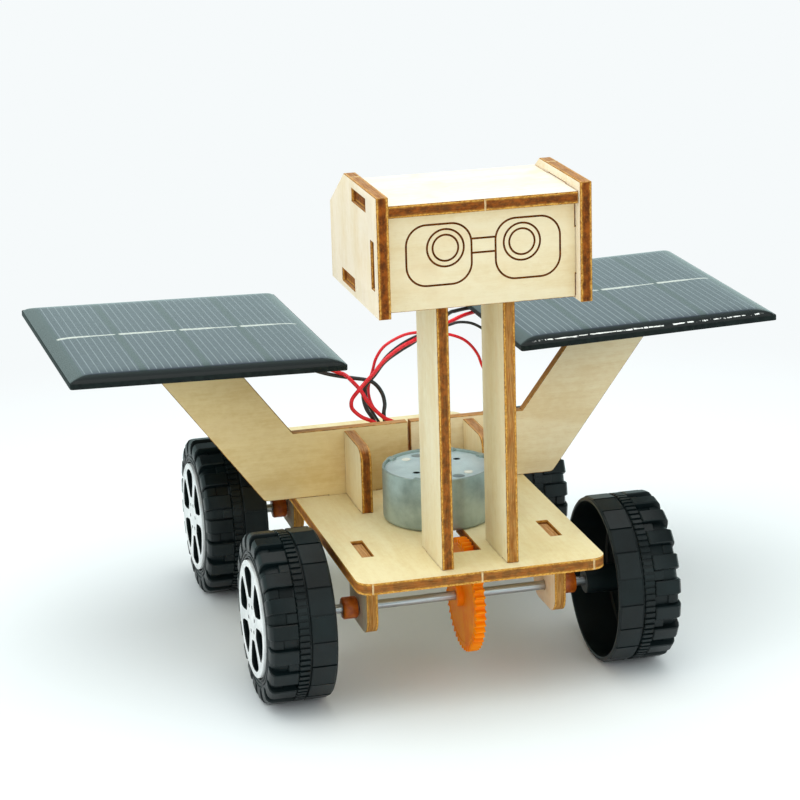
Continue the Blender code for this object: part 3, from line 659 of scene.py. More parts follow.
def silver_plastic():
    g = Graph("hub_silver_paint")
    flake = g.noise(g.mm((7, 7, 7)), 1.0, 2, 0.6)
    cloud = g.noise(g.mm((0.3, 0.3, 0.3)), 1.0, 3, 0.6)
    col = g.mix(g.span(cloud, 0.3, 0.7), lin(246, 248, 247), lin(228, 231, 231))
    col = g.mix(g.math("MULTIPLY", g.span(flake, 0.58, 0.75), 0.25), col, lin(190, 194, 195))
    g.bump(flake, 0.10, 0.03)
    return g.set(color=col, rough=g.math("ADD", 0.30, g.math("MULTIPLY", cloud, 0.18)), metal=0.25, spec=0.5)


def orange_plastic():
    g = Graph("gear_plastic")
    cloud = g.noise(g.mm((0.25, 0.25, 0.25)), 1.0, 3, 0.6)
    fine = g.noise(g.mm((2.5, 2.5, 2.5)), 1.0, 2, 0.6)
    col = g.mix(g.span(cloud, 0.3, 0.7), lin(255, 152, 5), lin(250, 124, 0))
    g.bump(fine, 0.12, 0.04)
    g.bsdf.inputs["Subsurface Radius"].default_value = (1.0, 0.35, 0.05)
    g.bsdf.inputs["Subsurface Scale"].default_value = 0.0015
    return g.set(color=col, rough=g.math("ADD", 0.36, g.math("MULTIPLY", fine, 0.15)), sss=0.12, spec=0.15)


def bush_rubber():
    g = Graph("bush_tube")
    cloud = g.noise(g.mm((0.6, 0.6, 0.6)), 1.0, 3, 0.6)
    lines = g.noise(g.mm((0.2, 5.0, 5.0)), 1.0, 2, 0.6)
    col = g.mix(g.span(cloud, 0.3, 0.7), lin(214, 106, 12), lin(176, 74, 6))
    g.bump(lines, 0.15, 0.04)
    return g.set(color=col, rough=g.math("ADD", 0.28, g.math("MULTIPLY", lines, 0.2)), sss=0.1)


def rod_steel():
    g = Graph("rod_steel")
    lines = g.noise(g.mm((0.05, 9.0, 9.0)), 1.0, 3, 0.6)
    spots = g.noise(g.mm((1.2, 1.2, 1.2)), 1.0, 3, 0.6)
    col = g.mix(g.span(lines, 0.3, 0.7), lin(205, 206, 208), lin(150, 152, 156))
    col = g.mix(g.math("MULTIPLY", g.span(spots, 0.6, 0.8), 0.4), col, lin(110, 106, 100))
    g.bump(lines, 0.12, 0.02)
    return g.set(color=col, rough=g.math("ADD", 0.20, g.math("MULTIPLY", spots, 0.25)), metal=1.0)


def can_steel(name="can_steel", light=(170, 186, 180), dark=(142, 158, 152)):
    g = Graph(name)
    p = g.mm((1, 1, 1))
    cloud = g.noise(g.mm((0.22, 0.22, 0.22)), 1.0, 4, 0.6)
    grit = g.noise(g.mm((4.5, 4.5, 4.5)), 1.0, 3, 0.65)
    drawn = g.noise(g.mm((2.4, 2.4, 0.12)), 1.0, 3, 0.6)
    col = g.mix(g.span(cloud, 0.3, 0.72), lin(*light), lin(*dark))
    col = g.mix(g.math("MULTIPLY", g.span(grit, 0.55, 0.75), 0.22), col, lin(112, 122, 122))
    g.bump(g.math("ADD", grit, drawn), 0.14, 0.03)
    return g.set(color=col, rough=g.math("ADD", 0.30, g.math("MULTIPLY", drawn, 0.22)), metal=0.55)


def simple(name, a, b, rough=0.5, metal=0.0, size=1.0, bump=0.12, spec=0.5, coat=0.0, sss=0.0):
    g = Graph(name)
    n = g.noise(g.mm((size, size, size)), 1.0, 4, 0.6)
    f = g.noise(g.mm((size * 6, size * 6, size * 6)), 1.0, 2, 0.6)
    g.bump(f, bump, 0.04)
    return g.set(color=g.mix(g.span(n, 0.3, 0.7), lin(*a), lin(*b)), rough=g.math("ADD", rough - 0.06, g.math("MULTIPLY", f, 0.14)), metal=metal, spec=spec, coat=coat, sss=sss)


TYRE = black_plastic()
SILVER = silver_plastic()
ORANGE = orange_plastic()
BUSH = bush_rubber()
ROD = rod_steel()
CAN = can_steel()
LID = can_steel("lid_steel", (216, 232, 234), (196, 214, 216))
# a near-black stand-in for the shade inside holes and openings: painted shade
HOLE_SHADE = simple("painted_hole_shade", (5, 6, 6), (10, 11, 11), 0.9, spec=0.0)
CREAM = simple("cream_plastic", (232, 234, 224), (214, 216, 204), 0.45)
BRASS = simple("bearing_brass_turned", (206, 166, 92), (174, 132, 64), 0.3, 1.0)
COPPER = simple("copper_winding", (198, 112, 66), (160, 82, 44), 0.3, 1.0, 2.0)
TINNED = simple("tinned", (214, 215, 216), (180, 181, 184), 0.28, 1.0, 1.5)
FERRITE = simple("ferrite", (46, 46, 48), (62, 62, 65), 0.65)
FOAM = simple("foam", (236, 235, 228), (222, 220, 210), 0.9, 0.0, 1.2, 0.4)
WORM_M = simple("worm_plastic", (238, 236, 226), (222, 219, 206), 0.4, sss=0.1)
RED = simple("wire_red_skin", (246, 26, 44), (222, 14, 30), 0.32, 0.0, 0.8, 0.08, coat=0.2)
BLACK = simple("wire_black_skin", (34, 33, 32), (48, 46, 44), 0.34, 0.0, 0.8, 0.08, coat=0.2)
BOARD = simple("board", (14, 22, 22), (26, 36, 34), 0.5, 0.0, 0.8, 0.1, spec=0.15)


# =============================================================== wheels
def wheel_mesh():
    parts = []
    shell = [(30.90, 17.15), (30.75, 17.35), (30.75, 17.80), (30.95, 18.00), (36.25, 18.00), (36.32, 17.62), (36.62, 17.62), (36.70, 17.86), (38.86, 17.86), (38.94, 17.15), (39.2, 16.95),
             (42.9, 16.95), (43.8, 16.65), (44.45, 16.1), (44.85, 15.3), (44.95, 14.80), (44.72, 14.66), (44.72, 14.30), (45.0, 14.20), (45.0, 13.84), (44.76, 13.72), (44.74, 13.42), (45.0, 13.30), (45.0, 13.02), (44.3, 12.96),
             (44.22, 12.2), (44.2, 11.75), (43.9, 11.55), (41.1, 11.25), (40.8, 10.95), (40.8, 3.45), (41.1, 3.15), (43.75, 3.0), (43.9, 2.8), (43.9, 1.06), (28.72, 1.06), (28.70, 1.3), (28.70, 2.65), (28.9, 2.85), (39.1, 3.15), (39.6, 3.6),
             (39.6, 15.7), (39.2, 16.15), (36.0, 16.6)]
    v, f = lathe(shell, 120)
    parts.append((v, f, 0))

    def on(ang):
        ca, sa = math.cos(ang), math.sin(ang)
        return lambda q, t: (q[0] * MM, (q[1] * ca - t * sa) * MM, (q[1] * sa + t * ca) * MM)

    lug = [(38.97, 16.7), (38.97, 18.05), (39.22, 18.3), (43.7, 18.3), (44.35, 18.08), (44.85, 17.45), (45.05, 16.5), (45.08, 15.2), (44.98, 14.72), (43.9, 14.6), (42.0, 15.4), (40.2, 16.6)]
    low = [(42.0, 16.5), (42.0, 17.05), (42.2, 17.25), (43.5, 17.25), (44.2, 16.95), (44.6, 16.3), (44.7, 15.6), (43.9, 15.4)]
    pocket = [(38.97, 16.7), (38.97, 17.6), (41.0, 17.6), (41.2, 17.4), (41.2, 16.7)]
    for i in range(20):
        a = (i + 0.5) * math.pi / 10
        n = len(lug)
        # the bar has a chamfer along both top edges: three slices across it
        for t0, t1, drop in ((-1.60, -1.40, 1), (-1.40, 1.40, 0), (1.40, 1.60, 2)):
            verts = []
            for t in (t0, t1):
                edge = (drop == 1 and t == t0) or (drop == 2 and t == t1)
                for h, r in lug:
                    rr = r - 0.22 if edge and r > 17.4 else r
                    hh = h - 0.18 if edge and h > 44.2 else h
                    ca, sa = math.cos(a), math.sin(a)
                    verts.append((hh * MM, (rr * ca - t * sa) * MM, (rr * sa + t * ca) * MM))
            faces = [(k, n + k, n + (k + 1) % n, (k + 1) % n) for k in range(n)]
            if drop == 1:
                faces.append(tuple(range(n)))
            if drop == 2:
                faces.append(tuple(range(2 * n - 1, n - 1, -1)))
            parts.append((verts, faces, 0))
        # a lower block fills part of every gap: at the shoulder in most, next to the ribs in the others
        v, f = prism(low if i % 2 else pocket, -0.9, 0.9, on(a + math.pi / 20))
        parts.append((v, f, 0))
    for i in range(80):
        a = i * math.pi / 40
        rib = [(36.66, 17.5), (36.66, 18.10), (36.82, 18.28), (38.74, 18.28), (38.90, 18.10), (38.90, 17.5)]
        v, f = prism(rib, -0.40, 0.40, on(a))
        parts.append((v, f, 0))
    # stepped blocks of the inner band
    for i in range(20):
        a0, a1 = (i + 0.04) * math.pi / 10, (i + 0.97) * math.pi / 10
        r = (18.33, 18.25, 18.34, 18.28)[i % 4]
        verts, faces = [], []
        seg = 1
        for k in range(seg + 1):
            a = a0 + (a1 - a0) * k / seg
            for h, rr in ((31.10, 17.6), (31.10, r - 0.16), (31.30, r), (36.05, r), (36.22, r - 0.16), (36.22, 17.6)):
                verts.append((h * MM, rr * math.cos(a) * MM, rr * math.sin(a) * MM))
        for k in range(seg):
            for j in range(6):
                q = (j + 1) % 6
                faces.append((k * 6 + j, (k + 1) * 6 + j, (k + 1) * 6 + q, k * 6 + q))
        faces.append(tuple(range(6)))
        faces.append(tuple(range(seg * 6 + 5, seg * 6 - 1, -1)))
        parts.append((verts, faces, 0))
    mesh = bpy.data.meshes.new("wheel")
    verts, faces = [], []
    for v, f, _ in parts:
        base = len(verts)
        verts += v
        faces += [tuple(base + i for i in q) for q in f]
    mesh.from_pydata(verts, [], faces)
    mesh.materials.append(TYRE)
    bm = bmesh.new()
    bm.from_mesh(mesh)
    bmesh.ops.recalc_face_normals(bm, faces=bm.faces)
    bm.to_mesh(mesh)
    bm.free()
    return mesh


def opening(a):
    pts = rounded([(4.6, -1.3, 0.8), (7.5, -3.0, 2.5), (10.25, -4.05, 0.9), (11.25, -1.4, 3.0), (11.25, 1.4, 3.0), (10.25, 4.05, 0.9), (7.5, 3.0, 2.5), (4.6, 1.3, 0.8)], 4)
    return [(x * math.cos(a) - y * math.sin(a), x * math.sin(a) + y * math.cos(a)) for x, y in pts]


def disc_object(name):
    rings = [opening(math.radians(30 + 60 * k)) for k in range(6)] + [circle(3.1 * math.cos(math.radians(60 * k)), 3.1 * math.sin(math.radians(60 * k)), 0.45, 12) for k in range(6)]
    o = sheet(name, circle(0, 0, 12.6, 96), rings, 1.0, [SILVER, SILVER, SILVER, TYRE], bevel=0.1, segments=2, plane="XY", offset=False)
    o.rotation_euler = (0, 0, 0)
    # only the face is silvered: inside the openings the plastic is black
    for p in o.data.polygons:
        if abs(p.normal.z) < 0.5 and math.hypot(p.center.x, p.center.y) < 11.7 * MM:
            p.material_index = 3
    extra = [(*lathe([(0.30, 0.01), (0.62, 0.01), (0.66, 0.9), (0.55, 1.15), (0.52, 1.45), (0.30, 1.5)], 32, axis="Z"), 0),
             (*lathe([(0.36, 11.75), (0.62, 11.85), (0.64, 12.25), (0.46, 12.45), (0.36, 12.4)], 96, axis="Z"), 0)]
    ring = new_object(name + "_ring", mesh_from(name + "_ring", extra, [SILVER]))
    # two near-black rings behind the disc stand in for the shade seen through its openings: painted shade
    back = new_object(name + "_back", mesh_from(name + "_back", [(*lathe([(-0.62, 2.2), (-0.62, 3.9), (-0.7, 3.9), (-0.7, 2.2)], 24, axis="Z"), 0), (*lathe([(-1.9, 3.3), (-1.9, 11.2), (-2.0, 11.2), (-2.0, 3.3)], 48, axis="Z"), 0)], [HOLE_SHADE]))
    return join([o, ring, back], name)


WHEEL = wheel_mesh()
# how far each wheel is pushed on past its nominal place
PUSHED_ON = {(-1, -1): 0.0, (-1, 1): 0.0, (1, -1): 0.55, (1, 1): 2.2}
for sy, end in ((-1, "front"), (1, "rear")):
    for sx, side in ((-1, "left"), (1, "right")):
        push = PUSHED_ON[sy, sx]
        o = new_object(f"wheel_{end}_{side}", WHEEL.copy())
        smooth(o, 30)
        o.rotation_euler = (0, 0, 0 if sx > 0 else math.pi)
        o.location = (Vector((-sx * push, sy * AXLE_Y, AXLE_Z)) + OFF) * MM
        finish_piece(o, f"{end}_axle", "wheel_black", f"{end}_wheel_{side}")
        d = disc_object(f"hub_{end}_{side}")
        spin = Matrix.Rotation(math.radians(-11.0 if sx < 0 else 11.0), 4, "X")
        d.matrix_world = (Matrix.Translation((Vector((sx * (44.95 - push), sy * AXLE_Y, AXLE_Z)) + OFF) * MM) @ spin
                          @ Matrix.Rotation(sx * math.pi / 2, 4, "Z") @ Matrix.Rotation(math.pi / 2, 4, "X"))
        finish_piece(d, f"{end}_axle", "hub_silver", f"{end}_hub_disc_{side}")
        be = 25.7 if sx < 0 else 26.4
        prof = [(22.5, 1.05), (22.5, 2.15), (22.75, 2.4), (be - 0.25, 2.4), (be, 2.15), (be, 1.05)]
        b = new_object(f"bush_tube_{end}_{side}", mesh_from("bush", [(*lathe(prof, 40), 0)], [BUSH]))
        smooth(b, 50)
        b.rotation_euler = (0, 0, 0 if sx > 0 else math.pi)
        b.location = (Vector((0, sy * AXLE_Y, AXLE_Z)) + OFF) * MM
        finish_piece(b, f"{end}_axle", "bush_rubber", f"{end}_bush_{side}")
    lo, hi = -43.3 + PUSHED_ON[sy, -1], 43.3 - PUSHED_ON[sy, 1]
    prof = [(lo, 0.0001), (lo, 0.8), (lo + 0.2, 1.0), (hi - 0.2, 1.0), (hi, 0.8), (hi, 0.0001)]
    r = new_object(f"rod_{end}", mesh_from("rod", [(*lathe(prof, 32, closed=False), 0)], [ROD]))
    smooth(r, 40)
    r.location = (Vector((0, sy * AXLE_Y, AXLE_Z)) + OFF) * MM
    finish_piece(r, f"{end}_axle", "axle_steel", f"{end}_axle_rod")


# =============================================================== gear
def gear():
    outline = []
    step = 2 * math.pi / 48
    for i in range(48):
        c = i * step
        for r, a in ((11.35, -0.30), (11.9, -0.215), (12.32, -0.125), (12.45, -0.07), (12.45, 0.07), (12.32, 0.125), (11.9, 0.215), (11.35, 0.30)):
            outline.append((r * math.cos(c + a * step), r * math.sin(c + a * step)))
    o = sheet("gear_disc", outline, [circle(0, 0, 1.05, 32)], 2.2, [ORANGE], bevel=0.08, segments=1, plane="XY", offset=False)
    o.rotation_euler = (0, 0, 0)
    # local Z becomes +X: the boss stands on the left face, and a shallow step runs round inside the teeth
    boss = new_object("boss", mesh_from("boss", [(*lathe([(-1.0, 1.05), (-2.25, 1.05), (-2.4, 1.2), (-2.4, 2.3), (-2.25, 2.5), (-1.1, 2.55), (-1.0, 2.7)], 40, axis="Z"), 0),
                                                 (*lathe([(-1.0, 10.3), (-1.22, 10.45), (-1.22, 10.9), (-1.0, 11.0)], 96, axis="Z"), 0),
                                                 (*lathe([(1.0, 10.3), (1.22, 10.45), (1.22, 10.9), (1.0, 11.0)], 96, axis="Z"), 0),
                                                 (*lathe([(1.0, 1.05), (1.5, 1.05), (1.5, 2.4), (1.0, 2.6)], 40, axis="Z"), 0)], [ORANGE]))
    o = join([o, boss], "gear_disc")
    o.rotation_euler = PLANES["YZ"]
    o.location = (Vector((0.7 + 1.1, -AXLE_Y, AXLE_Z)) + OFF) * MM
    return finish_piece(o, "front_axle", "gear_orange", "drive_gear")


gear()

# =============================================================== motor
mo = (Vector((MX, MY, 0)) + OFF) * MM
Z0, Z1 = 31.3, 43.3


def turned(name, parts, mats, body, slot, *nodes, degrees=35):
    o = new_object(name, mesh_from(name, parts, mats))
    smooth(o, degrees)
    o.location = mo
    return finish_piece(o, body, slot, *nodes)


can = [(31.3, 2.6), (31.3, 11.4), (31.42, 11.8), (31.8, 12.12), (32.2, 12.2), (42.8, 12.2), (42.98, 12.17), (43.08, 12.05), (43.1, 11.9), (43.06, 11.72), (42.9, 11.66), (42.4, 11.64), (42.3, 11.3), (32.3, 11.3), (32.2, 2.6)]
parts = [(*lathe(can, 96, axis="Z"), 0)]
# small crimps press the can's rim over the end plate
for deg in (-128, 18, 60, 138):
    a = math.radians(deg)
    ca, sa = math.cos(a), math.sin(a)
    v, f = prism([(-0.95, 42.4), (0.95, 42.4), (0.75, 43.16), (-0.75, 43.16)], 10.7, 12.19, lambda q, t: ((t * ca - q[0] * sa) * MM, (t * sa + q[0] * ca) * MM, q[1] * MM))
    parts.append((v, f, 0))
turned("can", parts, [CAN], "chassis", "motor_steel", "motor_can")
lid = [(41.6, 0.6), (42.45, 0.6), (42.62, 0.9), (42.62, 2.6), (42.52, 2.8), (42.52, 3.4), (42.62, 3.6), (42.62, 11.0), (42.55, 11.4), (42.4, 11.6), (41.6, 11.2)]
parts = [(*lathe(lid, 96, axis="Z"), 0)]
marks = []
# slot 1 is a near-black disc in each of two holes and slot 3 a darker steel disc in each recess: painted shade inside
# them
for (x, y), r, m in (((5.3, 3.35), 0.85, 1), ((-5.65, -3.35), 0.85, 1), ((5.2, -6.55), 1.0, 2), ((-5.4, 6.55), 1.0, 2), ((2.4, -8.5), 1.4, 3), ((-2.3, 8.5), 1.4, 3)):
    top = 42.645 if m == 1 else (42.80 if m == 2 else 42.655)
    prof = [(42.3, 0.0001), (top, 0.0001), (top, r * 0.86), (top - 0.05, r)] + [(42.3, r)]
    v, f = lathe(prof, 24, closed=False, axis="Z")
    v = [(a + x * MM, b + y * MM, c) for a, b, c in v]
    parts.append((v, f, m))
    if m != 2:
        v, f = lathe([(42.5, r), (42.72, r + 0.03), (42.70, r + 0.15), (42.5, r + 0.22)], 24, axis="Z")
        parts.append(([(a + x * MM, b + y * MM, c) for a, b, c in v], f, 0))
SHADE = can_steel("lid_recess", (160, 172, 172), (120, 132, 134))
turned("can_lid", parts, [LID, HOLE_SHADE, CREAM, SHADE], "chassis", "motor_steel", "motor_end_plate")
turned("bearing", [(*lathe([(30.6, 1.1), (30.6, 2.05), (30.75, 2.2), (31.15, 2.2), (31.15, 2.45), (32.9, 2.45), (32.9, 1.1)], 40, axis="Z"), 0)], [BRASS], "chassis", "bearing_brass", "motor_bearing")
turned("rotor_shaft", [(*lathe([(15.9, 0.0001), (15.9, 0.85), (16.1, 1.0), (41.0, 1.0), (41.2, 0.85), (41.2, 0.0001)], 32, closed=False, axis="Z"), 0)], [ROD], "motor_rotor", "axle_steel", "motor_shaft")
arm = [(*lathe([(34.8, 1.05), (34.8, 3.2), (38.6, 3.2), (38.6, 1.05)], 40, axis="Z"), 1)]
for k in range(3):
    a = 2 * math.pi * k / 3
    ca, sa = math.cos(a), math.sin(a)
    shoe = [(x, y) for x, y in circle(0, 0, 8.5, 72) if abs(math.atan2(y, x)) < 0.86]
    shoe.sort(key=lambda q: math.atan2(q[1], q[0]))
    back = [(7.4 * math.cos(t), 7.4 * math.sin(t)) for t in (0.80, 0.4, 0.2)] + [(3.0, 1.1), (3.0, -1.1)] + [(7.4 * math.cos(t), 7.4 * math.sin(t)) for t in (-0.2, -0.4, -0.80)]
    v, f = prism(shoe + back, 35.2, 38.2, lambda q, t: ((q[0] * ca - q[1] * sa) * MM, (q[0] * sa + q[1] * ca) * MM, t * MM))
    arm.append((v, f, 1))
    coil = [(3.4, -2.4), (6.9, -2.9), (6.9, 2.9), (3.4, 2.4)]
    v, f = prism(coil, 34.45, 38.95, lambda q, t: ((q[0] * ca - q[1] * sa) * MM, (q[0] * sa + q[1] * ca) * MM, t * MM))
    arm.append((v, f, 0))
turned("rotor_core", arm, [COPPER, CAN], "motor_rotor", "copper", "motor_armature")
seg = [(*lathe([(39.3, 1.05), (39.3, 2.1), (39.4, 2.3), (40.8, 2.3), (40.9, 2.2), (40.9, 1.05)], 36, axis="Z"), 0)]
turned("rotor_commutator", seg, [COPPER], "motor_rotor", "copper", "motor_commutator")
for sx, side in ((-1, "left"), (1, "right")):
    ring = []
    for r, way in ((10.9, 1), (9.3, -1)):
        for k in range(17):
            a = math.radians(-62 + 124 * k / 16) * way
            ring.append((sx * r * math.cos(a), r * math.sin(a)))
    if sx < 0:
        ring = ring[::-1]
    m = sheet(f"magnet_{side}", ring, [], 5.4, [FERRITE], bevel=0.25, plane="XY", at=(MX, MY, 36.7))
    finish_piece(m, "chassis", "magnet_ferrite", f"motor_magnet_{side}")
    tag = sheet(f"solder_tag_{side}", rounded([(-0.9, 33.4, 0.2), (0.9, 33.4, 0.2), (0.9, 36.6, 0.6), (-0.9, 36.6, 0.6)], 4), [circle(0, 35.7, 0.4, 16)], 0.4, [COPPER], bevel=0.08, plane="XZ", at=(MX + sx * 3.0, MY + 12.7, 0))
    finish_piece(tag, "chassis", "copper", f"motor_terminal_{side}")


# =============================================================== worm
def worm():
    lead = math.pi * 0.5
    tz = AXLE_Z + lead / 2 - 0.75 * lead - lead
    verts, faces = [], []
    ridge = [(3.5, -0.235), (4.05, -0.165), (4.55, -0.105), (4.65, -0.07), (4.65, 0.07), (4.55, 0.105), (4.05, 0.165), (3.5, 0.235)]
    n, per, turns = len(ridge), 48, 4
    for i in range(per * turns + 1):
        a = 2 * math.pi * i / per
        taper = min(1.0, i / 14, (per * turns - i) / 14)
        for r, h in ridge:
            rr = 3.5 + (r - 3.5) * taper
            verts.append((rr * math.cos(a) * MM, rr * math.sin(a) * MM, (tz + (h * (0.35 + 0.65 * taper) + i / per) * lead) * MM))
    for i in range(per * turns):
        for j in range(n):
            k = (j + 1) % n
            faces.append((i * n + j, (i + 1) * n + j, (i + 1) * n + k, i * n + k))
    faces.append(tuple(range(n)))
    faces.append(tuple(range(per * turns * n + n - 1, per * turns * n - 1, -1)))
    core = lathe([(16.4, 1.05), (16.4, 3.4), (16.6, 3.65), (23.4, 3.65), (23.6, 3.4), (23.6, 1.05)], 48, axis="Z")
    return turned("worm_screw", [(verts, faces, 0), (*core, 0)], [WORM_M], "motor_rotor", "worm_white", "worm", degrees=40)


worm()


# =============================================================== solar panels
def cell_material(side):
    """Four cells under clear resin: fine silver fingers, a broken silver bus bar, a dark border, all in the panel's own coordinates."""
    g = Graph(f"panel_glaze_{side}")
    p = g.mm()
    x, y, _ = g.xyz(p)
    wob = g.noise(g.mm((0.03, 0.05, 0.05), 0, (11 if side == "left" else 47, 0, 0)), 1.0, 2, 0.5)
    tiny = g.noise(g.mm((1.6, 0.25, 1.0), 0, (3, 0, 0)), 1.0, 3, 0.6)
    grain = g.noise(g.mm((1.1, 1.1, 1.1)), 1.0, 4, 0.7)
    spark = g.noise(g.mm((5.0, 5.0, 5.0)), 1.0, 2, 0.6)
    # which cell, and the place in it
    u = g.math("DIVIDE", g.math("ADD", x, 27.6), 13.8)
    cell = g.math("FLOOR", u)
    f = g.math("MULTIPLY", g.math("SUBTRACT", u, cell), 13.8)          # 0 to 13.8 mm across a cell
    inside = g.math("MULTIPLY", g.span(g.math("ABSOLUTE", x), 27.75, 27.55), g.span(g.math("ABSOLUTE", y), 31.1, 30.9))
    # fingers: eight in each cell, one every 1.6 mm
    k = g.math("DIVIDE", g.math("SUBTRACT", f, 1.3), 1.6)
    near = g.math("MULTIPLY", g.math("ABSOLUTE", g.math("SUBTRACT", k, g.math("ROUND", k))), 1.6)
    line = g.span(near, 0.17, 0.05)
    line = g.math("MULTIPLY", line, g.math("MULTIPLY", g.span(k, -0.4, -0.3), g.span(k, 7.4, 7.3)))
    line = g.math("MULTIPLY", line, g.span(g.math("ABSOLUTE", y), 30.6, 30.0))
    line = g.math("MULTIPLY", line, g.span(tiny, 0.18, 0.5))
    line = g.math("MULTIPLY", line, inside)
    # seam between cells
    seam = g.math("MULTIPLY", g.math("ADD", g.span(f, 0.95, 0.6), g.span(f, 12.85, 13.2), clamp=True), inside)
    # bus bar: a silver ribbon over each cell with ragged ends and a thin part
    yb = g.math("ADD", y, g.math("MULTIPLY", g.math("SUBTRACT", wob, 0.5), 1.6))
    wide = g.math("ADD", 0.66, g.math("MULTIPLY", g.span(f, 6.2, 9.2), -0.30))
    edge_n = g.math("MULTIPLY", g.math("SUBTRACT", g.noise(g.mm((0.7, 0.7, 0.7), 0, (9, 2, 0)), 1.0, 3, 0.7), 0.5), 0.5)
    d = g.math("SUBTRACT", g.math("ADD", g.math("ABSOLUTE", yb), edge_n), wide)
    bar = g.span(d, 0.08, -0.08)
    ends = g.math("MULTIPLY", g.span(f, 0.1, 0.7), g.span(f, 13.6, 12.9))
    bar = g.math("MULTIPLY", g.math("MULTIPLY", bar, ends), g.span(g.math("ABSOLUTE", x), 27.9, 27.6))
    base = g.mix(g.span(grain, 0.3, 0.72), lin(36, 42, 58), lin(54, 60, 78))
    base = g.mix(g.math("MULTIPLY", g.span(spark, 0.6, 0.78), 0.35), base, lin(72, 78, 104))
    tone = g.math("MULTIPLY", g.math("SUBTRACT", g.math("FRACT", g.math("MULTIPLY", g.math("ADD", cell, 1.37), 0.618)), 0.5), 0.35)
    base = g.mix(g.math("ADD", 0.2, tone, clamp=True), base, lin(34, 46, 60))
    back = g.mix(g.span(grain, 0.3, 0.7), lin(24, 34, 34), lin(34, 46, 45))
    col = g.mix(inside, back, base)
    col = g.mix(g.math("MULTIPLY", seam, 0.85), col, lin(16, 40, 38))
    col = g.mix(g.math("MULTIPLY", line, 0.5), col, lin(150, 160, 166))
    col = g.mix(bar, col, g.mix(g.span(grain, 0.35, 0.7), lin(236, 234, 222), lin(196, 196, 188)))
    # the resin's steep front edge is in shade; on the right panel it is rippled and catches the light
    ny = g.xyz(g.node("ShaderNodeNewGeometry").outputs["Normal"])[1]
    steep = g.span(ny, -0.07, -0.34)
    col = g.mix(g.math("MULTIPLY", steep, 0.9), col, lin(10, 20, 21))
    if side == "right":
        rip = g.noise(g.mm((0.42, 1.6, 1.6), 0, (5, 1, 0)), 1.0, 3, 0.7)
        yy = g.math("ADD", y, g.math("MULTIPLY", g.math("SUBTRACT", rip, 0.5), 0.9))
        glint = g.math("SUBTRACT", 1.0, g.span(g.math("ABSOLUTE", g.math("ADD", yy, 33.05)), 0.10, 0.26))
        glint = g.math("MULTIPLY", glint, g.span(g.noise(g.mm((0.75, 0.2, 0.2), 0, (2, 0, 0)), 1.0, 3, 0.7), 0.42, 0.5))
        glint = g.math("MULTIPLY", glint, g.span(g.math("ABSOLUTE", x), 27.5, 26.0))
        col = g.mix(glint, col, (0.95, 0.97, 0.95))
    wave = g.noise(g.mm((0.05, 0.05, 0.05)), 1.0, 2, 0.5)
    n = g.node("ShaderNodeBump")
    g.link(wave, n.inputs["Height"])
    n.inputs["Strength"].default_value = 0.25
    n.inputs["Distance"].default_value = 0.5 * MM
    g.link(n.outputs[0], g.bsdf.inputs["Coat Normal"])
    g.bsdf.inputs["Coat IOR"].default_value = 1.5
    return g.set(color=col, rough=g.math("SUBTRACT", 0.55, g.math("MULTIPLY", bar, 0.2)), spec=0.25, coat=g.math("SUBTRACT", 1.0, g.math("MULTIPLY", steep, 0.92)), coat_rough=0.06, metal=g.math("MULTIPLY", bar, 0.3))


def dome(name, mat):
    """The poured resin: it swells from the board's edge in a few millimetres, then stays nearly flat."""
    w, d = 29.9, 33.9
    xs = [-1, -0.994, -0.983, -0.968, -0.948, -0.922, -0.89, -0.85, -0.8, -0.7, -0.55, -0.35, -0.12]
    xs = xs + [0.12, 0.35, 0.55, 0.7, 0.8, 0.85, 0.89, 0.922, 0.948, 0.968, 0.983, 0.994, 1]
    verts, faces = [], []
    n = len(xs)
    rs = random.Random(5)
    for j, v in enumerate(xs):
        for i, u in enumerate(xs):
            x, y = u * w, v * d
            # round the four corners in plan
            ex, ey = w - abs(x), d - abs(y)
            r = 1.3
            if ex < r and ey < r:
                dist = math.hypot(r - ex, r - ey)
                if dist > r:
                    x = math.copysign(w - (r - (r - ex) * r / dist), x)
                    y = math.copysign(d - (r - (r - ey) * r / dist), y)
                    ex, ey = w - abs(x), d - abs(y)
                    dist = r
                e = r - dist
            else:
                e = min(ex, ey)
            t = min(1.0, max(0.0, e / 6.6))
            h = 1.28 * (1 - (1 - t) ** 2.5) ** 0.78 + 0.16 * (1 - (x / w) ** 2) * (1 - (y / d) ** 2)
            verts.append((x * MM, y * MM, (1.22 + h) * MM))
    for j in range(n - 1):
        for i in range(n - 1):
            faces.append((j * n + i, j * n + i + 1, (j + 1) * n + i + 1, (j + 1) * n + i))
    # a skirt down to the board closes it
    rim = [(0, i) for i in range(n)] + [(j, n - 1) for j in range(1, n)] + [(n - 1, i) for i in range(n - 2, -1, -1)] + [(j, 0) for j in range(n - 2, 0, -1)]
    base = len(verts)
    for j, i in rim:
        x, y, z = verts[j * n + i]
        verts.append((x * 1.001, y * 1.001, 1.21 * MM))
    m = len(rim)
    for k in range(m):
        a, b = rim[k], rim[(k + 1) % m]
        faces.append((a[0] * n + a[1], base + k, base + (k + 1) % m, b[0] * n + b[1]))
    mesh = bpy.data.meshes.new(name)
    mesh.from_pydata(verts, [], faces)
    mesh.materials.append(mat)
    fix_normals(mesh, 0.0000002)
    o = new_object(name, mesh)
    s = o.modifiers.new("sub", "SUBSURF")
    s.levels = 1
    s.render_levels = 1
    o = evaluated(o)
    smooth(o, 60)
    return o


